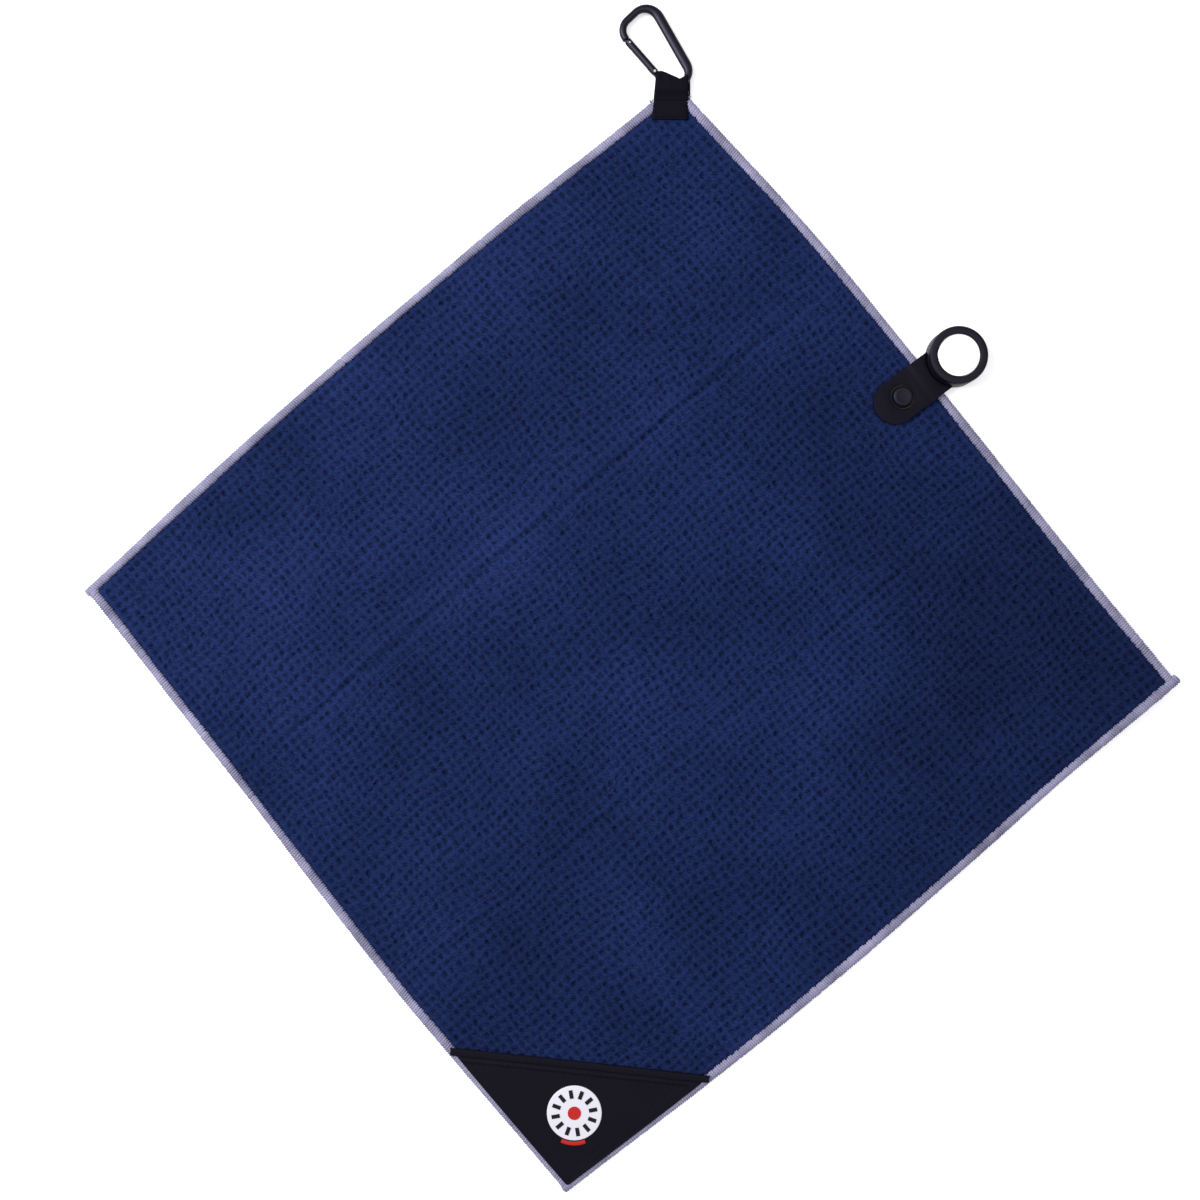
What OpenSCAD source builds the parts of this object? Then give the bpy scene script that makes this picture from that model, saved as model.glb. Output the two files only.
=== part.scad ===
// Square waffle-weave towel that lies flat on a surface, seen from above along -Z.
// One corner has a webbing loop with a carabiner and points along +Y. The opposite corner has a sewn pocket.
// A strap clip with a magnet puck closes over the middle of the edge on the right of the loop.
// The towel can be folded on two creases, so the cloth is three panels that meet on the creases.

/* [Towel] */
// Length of a side over the edging, corner to corner
towel_side = 412; // [380:1:440]
// Thickness of the cloth
cloth_t = 2.4; // [2:0.1:3]
// Width of the overlocked edging
edging_w = 4.6; // [3.5:0.1:6]
// Height of the overlocked edging
edging_h = 3.2; // [2.8:0.1:3.4]
// Distance from the loop's edge to the first crease
loop_fold = 131; // [110:1:145]
// Distance from the pocket's edge to the second crease
pocket_fold = 139.5; // [110:0.5:150]

/* [Webbing loop] */
// Width of the webbing where it is sewn
web_w = 19; // [15:0.5:22]
// Width of the webbing gathered in the eye
eye_w = 14.7; // [12:0.1:16]
// Thickness of the webbing
web_t = 1.1; // [0.8:0.1:1.2]
// How far the loop leans to the left of +Y, in degrees
web_lean = 5.2; // [0:0.1:8]

/* [Carabiner] */
// Diameter of the frame's rod
rod_d = 4; // [3.6:0.1:4.2]
// Width of the spine, the side opposite the gate
spine_w = 5.4; // [4.4:0.1:6]
// Direction of the long axis, in degrees to the left of +Y
hang_lean = 41; // [20:1:60]
// Distance from the gate's pivot to its nose
gate_len = 21.8; // [20:0.1:22.2]
// Diameter of the gate's rod
gate_d = 3.9; // [3.6:0.1:4]

/* [Magnet clip] */
// Diameter of the puck
puck_d = 30.6; // [28:0.1:31]
// Height of the puck
puck_h = 12.8; // [11:0.1:15]
// Diameter of the magnet's visible face
magnet_d = 22.2; // [18:0.1:23]
// Width of the strap
strap_w = 23; // [20:0.5:24]
// Distance from the puck's centre to the centre of the strap's round end
strap_reach = 39.6; // [38:0.1:42]
// Diameter of the button's head
button_d = 10.8; // [9:0.1:11]

/* [Corner pocket] */
// Distance from the towel's corner to the pocket's mouth, along the left edge
pocket_left = 98; // [80:1:110]
// Distance from the towel's corner to the pocket's mouth, along the right edge
pocket_right = 95; // [80:1:110]
// Width of the turned hem on the mouth
hem_w = 3.8; // [3:0.1:6]
// Diameter of the badge
badge_d = 29; // [24:0.5:32]

/* [Hidden] */
$fn = 64;
far = 400;            // longer than any cut needs
navy = "#22325f";
lavender = "#a5a0bc";
black = "#1c1a22";
graphite = "#32303c";

// Towel outline. In the towel's own axes the sides run along X and Y, and the corners are, in order,
// loop, right, pocket and left. Each corner is pulled a little out of square, as a soft towel lies.
half = towel_side / 2;
corners = [[half + 2, half + 2], [half + 1, -half + 2], [-half - 6, -half], [-half + 3, half - 4]];
// How far each side bows outwards, and how much of that leans towards the side's start
bows = [[5.2, 1.2], [5.2, -0.9], [3.2, 1.0], [5.4, 0.2]];
corner_cut = [11.6, 4, 4, 4];   // the loop's corner is cut straight under the webbing
side_steps = 14;
round_steps = 4;

function unit(v) = v / norm(v);
function side_normal(i) = let(d = unit(corners[(i + 1) % 4] - corners[i])) [-d.y, d.x];
function corner_at(i, inset) = corners[i % 4] - inset * (side_normal(i % 4) + side_normal((i + 3) % 4));
function bow(i, t) = bows[i][0] * sin(180 * t) + bows[i][1] * sin(360 * t);
function side_point(i, t, inset) =
    corner_at(i, inset) * (1 - t) + corner_at(i + 1, inset) * t + side_normal(i) * bow(i, t);
function cut_len(i, inset) = max(corner_cut[i % 4] - 0.6 * inset, 1);
function side_run(i, inset) =
    let(len = norm(corner_at(i + 1, inset) - corner_at(i, inset)),
        t0 = cut_len(i, inset) / len, t1 = 1 - cut_len(i + 1, inset) / len)
    [for (k = [0:side_steps]) side_point(i, t0 + (t1 - t0) * k / side_steps, inset)];
function bend(a, c, b, s) = a * pow(1 - s, 2) + c * 2 * s * (1 - s) + b * pow(s, 2);
function round_run(i, inset) =
    let(a = side_run((i + 3) % 4, inset)[side_steps], b = side_run(i, inset)[0], c = corner_at(i, inset))
    i == 0 ? [] : [for (k = [1:round_steps - 1]) bend(a, c, b, k / round_steps)];
function outline(inset) = [for (i = [0:3]) each concat(round_run(i, inset), side_run(i, inset))];

// Creases, as heights along the towel's own Y
loop_crease = half - loop_fold;
pocket_crease = -half + pocket_fold;
crease_gap = 0.2;     // cloth panels stop this far apart, half on each side

// Webbing loop, in its own axes: Y along the webbing, from its sewn end to the eye
web_at = [-1.2, 274.6];
sewn_len = 11.6;
back_len = 10.6;
eye_start = 14.2;
eye_end = 25.8;
fold_w = 9;           // the eye's fold is gathered to this width inside the carabiner
fold_x = 2;
web_z = cloth_t;      // the front leaf lies on the cloth
eye_h = rod_d + 2 * web_t + 0.6;
thread_d = 0.5;

// Carabiner, in its own axes: X along it, the gate on +Y, the origin at the centre of the narrow bend
rod_r = rod_d / 2;
hang_at = [-1.5, 300.2, web_t + 0.3 + rod_r];
bend_1 = [0, 0];
bend_2 = [28.5, -2.7];
bend_3 = [28.8, 3.4];
bend_1_r = 8;
bend_2_r = 8.35;
bend_3_r = 7.3;
function angle_of(v) = atan2(v.y, v.x);
function polar(c, r, a) = c + r * [cos(a), sin(a)];
bar_h = rod_d - 0.8;    // height of the bar that widens the spine
bend_lap = 0.5;         // how far a straight rod runs into a bend
spine_normal = angle_of(bend_2 - bend_1) - acos((bend_1_r - bend_2_r) / norm(bend_2 - bend_1));
gate_normal = angle_of(bend_3 - bend_1) + acos((bend_1_r - bend_3_r) / norm(bend_3 - bend_1));
end_normal = angle_of(bend_3 - bend_2) - acos((bend_2_r - bend_3_r) / norm(bend_3 - bend_2));
gate_dir = gate_normal - 90;
stub_len = 3.6;       // rod between the narrow bend and the pivot's tongue
stub_at = polar(bend_1, bend_1_r, gate_normal);
pivot_at = polar(stub_at, stub_len + 2.6, gate_dir);
gate_r = gate_d / 2;
tongue_t = 1.4;
tongue_r = 1.9;
tongue_flat = 1.5;    // a flat on the tongue where the plunger rests when the gate is shut
rivet_r = 0.7;
run_gap = 0.05;       // radial gap of a running fit
latch_x = gate_len - 1.7;
latch_r = 0.55;
latch_slot = 4.2;
bore_r = 1.1;
bore_end = 14;
bore_lead = 0.6;        // the bore starts this far before the plunger
plunger_x = tongue_r + 0.06;   // drawn pressed back, where it clears the tongue at every angle of the gate
plunger_len = 5;
plunger_tip = 0.4;
plunger_tip_r = 0.65;
spring_wire = 0.3;
spring_turns = 7;
coil_steps = 16;      // rings of wire to a turn
coil_sides = 6;       // sides of the wire

// Magnet clip, in its own axes: X from the puck's centre inwards along the strap
clip_at = [228.3, 1.8];
clip_turn = 177;
puck_r = puck_d / 2;
back_t = 1.4;
flap_t = 1.8;
flap_low = cloth_t + 0.3;
flap_high = edging_h + 0.3;
flap_start = puck_r + 0.7;
neck_top = flap_high + flap_t;
bead_end = puck_r + 5.2;
flap_drop = 3.5;
seat_x = 34.8;
seat_r = 6.9;
ring_wall = 0.5;
button_x = 34.3;
button_top = flap_low + flap_t + 0.7;
post_r = 3.5;
eyelet_r = 5;
magnet_r = magnet_d / 2;
lip_t = 1.2;
cup_r = magnet_r + 1.85;
cover_t = 1.6;
magnet_top = puck_h - 0.4;

// Corner pocket
pocket_inset = 3;
pocket_z = edging_h;
pocket_t = 1.0;
hem_t = 1.4;
corner_b = corners[2];
mouth_a = corner_b + [0, pocket_left];
mouth_b = corner_b + [pocket_right, 0];
mouth_dir = unit(mouth_b - mouth_a);
mouth_len = norm(mouth_b - mouth_a);
stitch_pitch = 3.2;
stitch_len = 2.3;
badge_at = [-181.3, -175.7];
bar_at = [-193.7, -186.1];
badge_z = pocket_z + pocket_t;
badge_t = 0.5;
mark_t = 0.3;
mark_count = 12;

// --- Placing ---
module in_towel() { rotate([0, 0, 45]) children(); }

module in_webbing() { translate([web_at.x, web_at.y, 0]) rotate([0, 0, web_lean]) children(); }

module in_carabiner() { translate(hang_at) rotate([0, 0, 90 + hang_lean]) children(); }

module in_gate() {
    in_carabiner() translate([pivot_at.x, pivot_at.y, 0]) rotate([0, 0, gate_dir]) children();
}

module in_clip() {
    in_towel() translate([clip_at.x, clip_at.y, 0]) rotate([0, 0, clip_turn]) children();
}

// --- Cloth and edging ---
module band(low, high) { translate([-far, low]) square([2 * far, high - low]); }

module loop_band() { band(loop_crease + crease_gap / 2, far); }

module middle_band() { band(pocket_crease + crease_gap / 2, loop_crease - crease_gap / 2); }

module pocket_band() { band(-far, pocket_crease - crease_gap / 2); }

module cloth_flat() { polygon(outline(edging_w)); }

module edging_flat() {
    difference() {
        polygon(outline(0));
        polygon(outline(edging_w));
    }
}

// The cloth and its edging are pressed thin over the loop's back leaf and under its front leaf
module back_leaf_mark() {
    in_webbing() translate([-web_w / 2, 0, -1]) cube([web_w, 20, web_t + 1]);
}

module front_leaf_mark() {
    in_webbing() translate([-web_w / 2, 0, web_z]) cube([web_w, 20, 5]);
}

// They are pressed thin over the clip's back strap too
module strap_mark() {
    in_clip() translate([0, 0, -1]) linear_extrude(back_t + 1) strap_flat();
}

module cloth_loop_third() {
    color(navy) difference() {
        in_towel() linear_extrude(cloth_t) intersection() {
            cloth_flat();
            loop_band();
        }
        back_leaf_mark();
    }
}

module cloth_middle_third() {
    color(navy) difference() {
        in_towel() linear_extrude(cloth_t) intersection() {
            cloth_flat();
            middle_band();
        }
        strap_mark();
        in_clip() translate([button_x, 0, -1]) cylinder(r = eyelet_r, h = 10);
    }
}

module cloth_pocket_third() {
    color(navy) in_towel() linear_extrude(cloth_t) intersection() {
        cloth_flat();
        pocket_band();
    }
}

module edging_loop_third() {
    color(lavender) difference() {
        in_towel() linear_extrude(edging_h) intersection() {
            edging_flat();
            loop_band();
        }
        back_leaf_mark();
        front_leaf_mark();
    }
}

module edging_middle_third() {
    color(lavender) difference() {
        in_towel() linear_extrude(edging_h) intersection() {
            edging_flat();
            middle_band();
        }
        strap_mark();
    }
}

module edging_pocket_third() {
    color(lavender) in_towel() linear_extrude(edging_h) intersection() {
        edging_flat();
        pocket_band();
    }
}

// --- Webbing loop ---
module webbing_front() {
    color(black) in_webbing() translate([-web_w / 2, 0, web_z]) cube([web_w, sewn_len, web_t]);
}

module webbing_back() {
    color(black) in_webbing() translate([-web_w / 2, 0, 0]) cube([web_w, back_len, web_t]);
}

// The eye's two leaves pass over and under the rod and join in a fold inside the carabiner
module webbing_eye() {
    color(black) in_webbing() {
        for (z = [0, eye_h - web_t])
            translate([-eye_w / 2, eye_start, z]) cube([eye_w, eye_end - eye_start, web_t]);
        translate([fold_x - fold_w / 2, eye_end - web_t, 0]) cube([fold_w, web_t, eye_h]);
    }
}

module thread(a, b, z) {
    translate([a.x, a.y, z + thread_d / 2]) rotate([0, 0, angle_of(b - a)]) rotate([0, 90, 0])
        cylinder(d = thread_d, h = norm(b - a), $fn = 24);
}

// A dashed line of stitches lying on a face at height z
module stitch_line(a, b, z, pitch, len) {
    count = floor(norm(b - a) / pitch);
    for (k = [0:count - 1]) {
        start = a + unit(b - a) * (k + 0.5) * norm(b - a) / count;
        thread(start - unit(b - a) * len / 2, start + unit(b - a) * len / 2, z);
    }
}

module loop_stitches() {
    edge_x = web_w / 2 - 1.6;
    low = 1.3;
    high = sewn_len - 1.5;
    color(black) in_webbing() {
        for (y = [low, high]) stitch_line([-edge_x, y], [edge_x, y], web_z + web_t, 2.4, 1.7);
        for (x = [-edge_x, edge_x])
            stitch_line([x, low + 0.9], [x, high - 0.9], web_z + web_t, 2.4, 1.5);
    }
}

// --- Carabiner ---
module rod_arc(centre, r, from, to) {
    translate([centre.x, centre.y, 0]) rotate([0, 0, from])
        rotate_extrude(angle = to - from) translate([r, 0]) circle(d = rod_d, $fn = 48);
}

module rod_line(a, b, d = rod_d) {
    translate([a.x, a.y, 0]) rotate([0, 0, angle_of(b - a)]) rotate([0, 90, 0])
        cylinder(d = d, h = norm(b - a), $fn = 48);
}

// A straight rod that runs a little way into the bends at its ends
module rod_between(a, b) {
    d = unit(b - a);
    rod_line(a - bend_lap * d, b + bend_lap * d, rod_d - 0.1);
}

// The spine is a rod widened towards the inside of the carabiner by a flat bar
module spine() {
    a = polar(bend_1, bend_1_r, spine_normal);
    b = polar(bend_2, bend_2_r, spine_normal);
    rod_between(a, b);
    translate([a.x, a.y, -bar_h / 2]) rotate([0, 0, angle_of(b - a)]) translate([-1, 0, 0])
        cube([norm(b - a) + 2, spine_w - rod_r, bar_h]);
}

module tongue(from, to, r) {
    translate([from, -r, -tongue_t / 2]) cube([to - from, 2 * r, tongue_t]);
}

// Tongue that carries the gate's pivot, with a flat facing the plunger
module pivot_tongue() {
    difference() {
        union() {
            tongue(-3.2, 0, tongue_r - 0.2);
            intersection() {
                translate([0, 0, -tongue_t / 2]) cylinder(r = tongue_r, h = tongue_t);
                tongue(-3, tongue_flat, 3);
            }
        }
        translate([0, 0, -2]) cylinder(r = rivet_r, h = 4);
    }
}

// Nose with a hook that the latch pin rests in
module nose_hook() {
    difference() {
        tongue(gate_len - 3.1, gate_len + 1.4, 1.3);
        translate([latch_x, 0, -2]) cylinder(r = latch_r + 0.15, h = 4);
        translate([latch_x - latch_r, -3, -2]) cube([2 * latch_r, 3, 4]);
    }
}

module carabiner_frame() {
    color(graphite) union() {
        in_carabiner() {
            rod_arc(bend_1, bend_1_r, gate_normal, spine_normal + 360);
            rod_arc(bend_2, bend_2_r, spine_normal, end_normal);
            rod_arc(bend_3, bend_3_r, end_normal, gate_normal);
            rod_between(polar(bend_2, bend_2_r, end_normal), polar(bend_3, bend_3_r, end_normal));
            rod_between(stub_at, polar(stub_at, stub_len - bend_lap, gate_dir));
            spine();
        }
        in_gate() pivot_tongue();
        in_gate() nose_hook();
    }
}

module carabiner_gate() {
    color(graphite) in_gate() difference() {
        union() {
            rod_line([0, 0], [gate_len, 0], gate_d);
            sphere(r = gate_r);
        }
        translate([-3, -3, -tongue_t / 2 - 0.1]) cube([6.2, 6, tongue_t + 0.2]);
        translate([gate_len - latch_slot, -3, -tongue_t / 2 - 0.15]) cube([5, 6, tongue_t + 0.3]);
        translate([0, 0, -3]) cylinder(r = rivet_r + run_gap, h = 6);
        translate([latch_x, 0, -3]) cylinder(r = latch_r, h = 6);
        translate([plunger_x - bore_lead, 0, 0]) rotate([0, 90, 0])
            cylinder(r = bore_r, h = bore_end - plunger_x + bore_lead);
    }
}

module gate_rivet() {
    color("silver") in_gate() translate([0, 0, -gate_r + 0.1]) cylinder(r = rivet_r, h = 2 * gate_r - 0.2);
}

module gate_latch_pin() {
    color("silver") in_gate() translate([latch_x, 0, -gate_r + 0.2]) cylinder(r = latch_r, h = 2 * gate_r - 0.4);
}

module gate_plunger() {
    color("silver") in_gate() translate([plunger_x, 0, 0]) rotate([0, 90, 0]) {
        cylinder(r = plunger_tip_r, h = plunger_tip);
        translate([0, 0, plunger_tip]) cylinder(r = bore_r - 2 * run_gap, h = plunger_len - plunger_tip);
    }
}

// A coil along X: rings of the wire's section follow the helix and are joined into a closed tube
module coil(len, r, wire, turns) {
    steps = turns * coil_steps;
    points = [for (k = [0:steps]) for (j = [0:coil_sides - 1])
        let(a = 360 * k / coil_steps, b = 360 * j / coil_sides, out = r + wire / 2 * cos(b))
        [len * k / steps + wire / 2 * sin(b), out * cos(a), out * sin(a)]];
    walls = [for (k = [0:steps - 1]) for (j = [0:coil_sides - 1])
        let(n = (j + 1) % coil_sides, low = k * coil_sides, high = low + coil_sides)
        [low + j, low + n, high + n, high + j]];
    first = [for (j = [0:coil_sides - 1]) coil_sides - 1 - j];
    last = [for (j = [0:coil_sides - 1]) steps * coil_sides + j];
    polyhedron(points, concat(walls, [first], [last]), convexity = 10);
}

module gate_spring() {
    from = plunger_x + plunger_len + spring_wire / 2 + 0.02;
    len = bore_end - from - spring_wire / 2 - 0.05;
    color("silver") in_gate() translate([from, 0, 0])
        coil(len, bore_r - 0.1 - spring_wire / 2, spring_wire, spring_turns);
}

// --- Magnet clip ---
module strap_flat() {
    translate([0, -strap_w / 2]) square([strap_reach, strap_w]);
    translate([strap_reach, 0]) circle(d = strap_w);
}

module clip_back_strap() {
    color(black) in_clip() difference() {
        union() {
            linear_extrude(back_t) strap_flat();
            translate([0, -strap_w / 2, 0]) cube([puck_r - 0.02, strap_w, neck_top]);
        }
        translate([0, 0, -1]) cylinder(r = puck_r, h = 20);
        translate([button_x, 0, -1]) cylinder(r = post_r, h = 10);
    }
}

// The flap rides over the edging and then lies on the cloth
module clip_flap() {
    profile = [
        [flap_start, flap_high], [bead_end, flap_high], [bead_end + flap_drop, flap_low], [far, flap_low],
        [far, flap_low + flap_t], [bead_end + flap_drop + 0.4, flap_low + flap_t],
        [bead_end + 0.4, neck_top], [flap_start, neck_top]
    ];
    color(black) in_clip() difference() {
        intersection() {
            linear_extrude(20) strap_flat();
            translate([0, strap_w, 0]) rotate([90, 0, 0]) linear_extrude(2 * strap_w) polygon(profile);
        }
        translate([seat_x, 0, 0]) cylinder(r = seat_r, h = 20);
    }
}

module button_seat_ring() {
    color(graphite) in_clip() translate([seat_x, 0, flap_low]) difference() {
        cylinder(r = seat_r, h = flap_t - 0.3);
        translate([0, 0, -1]) cylinder(r = seat_r - ring_wall, h = 5);
    }
}

module button_head() {
    low = cloth_t + 0.2;
    edge = 0.9;
    color(graphite) in_clip() translate([button_x, 0, low]) difference() {
        union() {
            cylinder(d = button_d, h = button_top - low - edge);
            translate([0, 0, button_top - low - edge]) cylinder(d1 = button_d, d2 = button_d - 1.8, h = edge);
        }
        translate([0, 0, button_top - low - 0.35]) cylinder(r = button_d / 2 - 2.4, h = 1);
    }
}

module button_post() {
    color(graphite) in_clip() translate([button_x, 0, 0]) cylinder(r = post_r, h = cloth_t + 0.2);
}

module towel_eyelet() {
    color("silver") in_clip() translate([button_x, 0, back_t]) difference() {
        cylinder(r = eyelet_r, h = cloth_t - back_t);
        translate([0, 0, -1]) cylinder(r = post_r + 0.1, h = 5);
    }
}

module puck_housing() {
    rim = 0.8;
    color(graphite) in_clip() rotate_extrude($fn = 128) polygon([
        [cup_r - 0.4, 0], [puck_r - 0.4, 0], [puck_r, 0.4], [puck_r, puck_h - rim], [puck_r - rim, puck_h],
        [magnet_r + 0.35, puck_h], [magnet_r + 0.05, puck_h - 0.3], [magnet_r + 0.05, puck_h - lip_t],
        [cup_r + 0.05, puck_h - lip_t], [cup_r + 0.05, cover_t], [cup_r - 0.4, cover_t]
    ]);
}

module steel_cup() {
    color("silver") in_clip() translate([0, 0, cover_t]) difference() {
        cylinder(r = cup_r, h = puck_h - lip_t - cover_t);
        translate([0, 0, 1.6]) cylinder(r = magnet_r + 0.05, h = 20);
    }
}

module magnet_disc() {
    low = cover_t + 1.6;
    color("silver") in_clip() translate([0, 0, low]) cylinder(r = magnet_r, h = magnet_top - low);
}

module puck_base_cover() {
    color(graphite) in_clip() cylinder(r = cup_r - 0.45, h = cover_t);
}

// --- Corner pocket ---
// What lies between two lines parallel to the mouth, at these distances from it towards the corner
module from_mouth(near, deep) {
    inward = [mouth_dir.y, -mouth_dir.x];
    start = mouth_a - mouth_dir * far / 2;
    finish = mouth_b + mouth_dir * far / 2;
    polygon([start + inward * near, finish + inward * near, finish + inward * deep, start + inward * deep]);
}

module pocket_flat(near, deep) {
    intersection() {
        polygon(outline(pocket_inset));
        from_mouth(near, deep);
    }
}

module pocket_panel() {
    color(black) in_towel() translate([0, 0, pocket_z]) linear_extrude(pocket_t) pocket_flat(hem_w, far);
}

module pocket_hem() {
    color(black) in_towel() translate([0, 0, pocket_z]) linear_extrude(hem_t) pocket_flat(0, hem_w);
}

module pocket_stitches() {
    inward = [mouth_dir.y, -mouth_dir.x] * (hem_w + 0.8);
    trim = 8;
    color(black) in_towel()
        stitch_line(mouth_a + mouth_dir * trim + inward, mouth_b - mouth_dir * trim + inward,
            badge_z, stitch_pitch, stitch_len);
}

module badge_disc() {
    color("white") in_towel() translate([badge_at.x, badge_at.y, badge_z]) cylinder(d = badge_d, h = badge_t);
}

module badge_marks() {
    color(black) in_towel() translate([badge_at.x, badge_at.y, badge_z + badge_t])
        for (k = [0:mark_count - 1]) rotate([0, 0, 360 * k / mark_count]) translate([badge_d * 0.27, -1, 0])
            cube([badge_d * 0.15, 2, mark_t]);
}

module badge_dot() {
    color("red") in_towel() translate([badge_at.x, badge_at.y, badge_z + badge_t])
        cylinder(d = badge_d * 0.24, h = mark_t);
}

module badge_bar() {
    length = 13;
    width = 2.6;
    color("red") in_towel() translate([bar_at.x, bar_at.y, badge_z]) rotate([0, 0, -50])
        linear_extrude(mark_t) {
            square([length - width, width], center = true);
            for (side = [-1, 1]) translate([side * (length - width) / 2, 0]) circle(d = width);
        }
}

cloth_loop_third();
cloth_middle_third();
cloth_pocket_third();
edging_loop_third();
edging_middle_third();
edging_pocket_third();
webbing_front();
webbing_back();
webbing_eye();
loop_stitches();
carabiner_frame();
carabiner_gate();
gate_rivet();
gate_latch_pin();
gate_plunger();
gate_spring();
clip_back_strap();
clip_flap();
button_seat_ring();
button_head();
button_post();
towel_eyelet();
puck_housing();
steel_cup();
magnet_disc();
puck_base_cover();
pocket_panel();
pocket_hem();
pocket_stitches();
badge_disc();
badge_marks();
badge_dot();
badge_bar();
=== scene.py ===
import math

import bpy
import numpy as np
from mathutils import Matrix, Vector


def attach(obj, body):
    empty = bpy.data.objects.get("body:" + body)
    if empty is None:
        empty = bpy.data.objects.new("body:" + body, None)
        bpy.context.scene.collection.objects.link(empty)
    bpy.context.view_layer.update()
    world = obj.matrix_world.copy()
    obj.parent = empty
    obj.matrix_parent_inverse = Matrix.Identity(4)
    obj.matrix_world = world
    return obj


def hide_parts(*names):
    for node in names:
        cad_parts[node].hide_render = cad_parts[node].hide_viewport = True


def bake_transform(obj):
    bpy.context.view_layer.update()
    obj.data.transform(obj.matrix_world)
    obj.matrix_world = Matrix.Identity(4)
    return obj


mm = 0.001
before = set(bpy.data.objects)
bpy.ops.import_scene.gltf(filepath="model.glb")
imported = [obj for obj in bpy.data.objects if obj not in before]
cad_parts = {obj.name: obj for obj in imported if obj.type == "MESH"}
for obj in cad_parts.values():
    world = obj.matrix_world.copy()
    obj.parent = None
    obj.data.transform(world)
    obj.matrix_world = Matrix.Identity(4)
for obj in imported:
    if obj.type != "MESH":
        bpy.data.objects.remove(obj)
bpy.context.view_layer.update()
print("frame loaded")


def linear(code):
    # sRGB hex to the linear colour that nodes work in
    parts = [int(code[i:i + 2], 16) / 255 for i in (1, 3, 5)]
    return tuple(p / 12.92 if p <= 0.04045 else ((p + 0.055) / 1.055) ** 2.4 for p in parts) + (1.0,)


def setSockets(material, node, sockets):
    # each socket gets a value, or a link from another node's socket
    for name, value in sockets.items():
        if isinstance(value, bpy.types.NodeSocket):
            material.node_tree.links.new(value, node.inputs[name])
        else:
            node.inputs[name].default_value = value


def addNode(material, kind, sockets=None, output=0, **settings):
    # one node with its settings and sockets
    node = material.node_tree.nodes.new("ShaderNode" + kind)
    for name, value in settings.items():
        setattr(node, name, value)
    setSockets(material, node, sockets or {})
    return node.outputs[output]


def newMaterial(name):
    # a material with its shader and the place on the object that its patterns read
    material = bpy.data.materials.new(name)
    material.use_nodes = True
    where = addNode(material, "TexCoord", output="Object")
    return material, material.node_tree.nodes["Principled BSDF"], where


def grainedSurface(name, colour, grain, blur, sockets, bump=None):
    # a hard surface whose blur varies a little from place to place; grain is the noise's scale and detail,
    # blur the range of its roughness, and bump its strength and height in mm
    material, shader, where = newMaterial(name)
    noise = addNode(material, "TexNoise", {"Vector": where, "Scale": grain[0], "Detail": grain[1]}, "Fac")
    rough = addNode(material, "MapRange", {"Value": noise, "To Min": blur[0], "To Max": blur[1]})
    setSockets(material, shader, {"Base Color": linear(colour), "Roughness": rough, **sockets})
    if bump:
        relief = {"Strength": bump[0], "Distance": bump[1] * mm, "Height": noise}
        setSockets(material, shader, {"Normal": addNode(material, "Bump", relief)})
    return material


def dress(piece, material):
    piece.data.materials.clear()
    piece.data.materials.append(material)


def clearSelection():
    if bpy.context.mode != "OBJECT":
        bpy.ops.object.mode_set(mode="OBJECT")
    bpy.ops.object.select_all(action="DESELECT")


def onlySelect(piece):
    clearSelection()
    piece.select_set(True)
    bpy.context.view_layer.objects.active = piece


def applyModifier(piece, kind, **settings):
    onlySelect(piece)
    modifier = piece.modifiers.new(kind, kind)
    for name, value in settings.items():
        setattr(modifier, name, value)
    bpy.ops.object.modifier_apply(modifier=modifier.name)


def place(piece, axes):
    # moves a piece from its own axes to the frame and leaves its place in its mesh
    onlySelect(piece)
    piece.matrix_world = axes @ piece.matrix_world
    bpy.ops.object.transform_apply()


def editWhole(piece):
    onlySelect(piece)
    bpy.ops.object.mode_set(mode="EDIT")
    bpy.ops.mesh.select_all(action="SELECT")


def faceOutward(piece):
    editWhole(piece)
    bpy.ops.mesh.normals_make_consistent(inside=False)
    bpy.ops.object.mode_set(mode="OBJECT")


def joined(name, shells):
    clearSelection()
    for shell in shells:
        shell.select_set(True)
    bpy.context.view_layer.objects.active = shells[0]
    bpy.ops.object.join()
    shells[0].name = name
    return shells[0]


def smooth(piece, degrees):
    onlySelect(piece)
    bpy.ops.object.shade_smooth_by_angle(angle=math.radians(degrees))


def turnAbout(x, y, z, degrees):
    return Matrix.Translation((x * mm, y * mm, z * mm)) @ Matrix.Rotation(math.radians(degrees), 4, "Z")


def meshFrom(name, points, quads, triangles=(), uv=None):
    # a mesh from arrays of corners and faces, with an optional uv for each face corner of the quads
    mesh = bpy.data.meshes.new(name)
    quads = np.asarray(quads, np.int32).reshape(-1, 4)
    triangles = np.asarray(triangles, np.int32).reshape(-1, 3)
    mesh.vertices.add(len(points))
    mesh.vertices.foreach_set("co", np.asarray(points, np.float32).ravel())
    corners = np.concatenate([quads.ravel(), triangles.ravel()])
    mesh.loops.add(len(corners))
    mesh.loops.foreach_set("vertex_index", corners)
    sizes = np.concatenate([np.full(len(quads), 4), np.full(len(triangles), 3)])
    mesh.polygons.add(len(sizes))
    mesh.polygons.foreach_set("loop_start", np.concatenate([[0], np.cumsum(sizes)[:-1]]).astype(np.int32))
    mesh.update(calc_edges=True)
    if uv is not None:
        layer = mesh.uv_layers.new(name="mm")
        flat = np.zeros((len(corners), 2), np.float32)
        flat[:quads.size] = np.asarray(uv, np.float32).reshape(-1, 2)
        layer.data.foreach_set("uv", flat.ravel())
    mesh.polygons.foreach_set("use_smooth", np.ones(len(sizes), bool))
    mesh.validate()
    piece = bpy.data.objects.new(name, mesh)
    bpy.context.scene.collection.objects.link(piece)
    return piece


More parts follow.
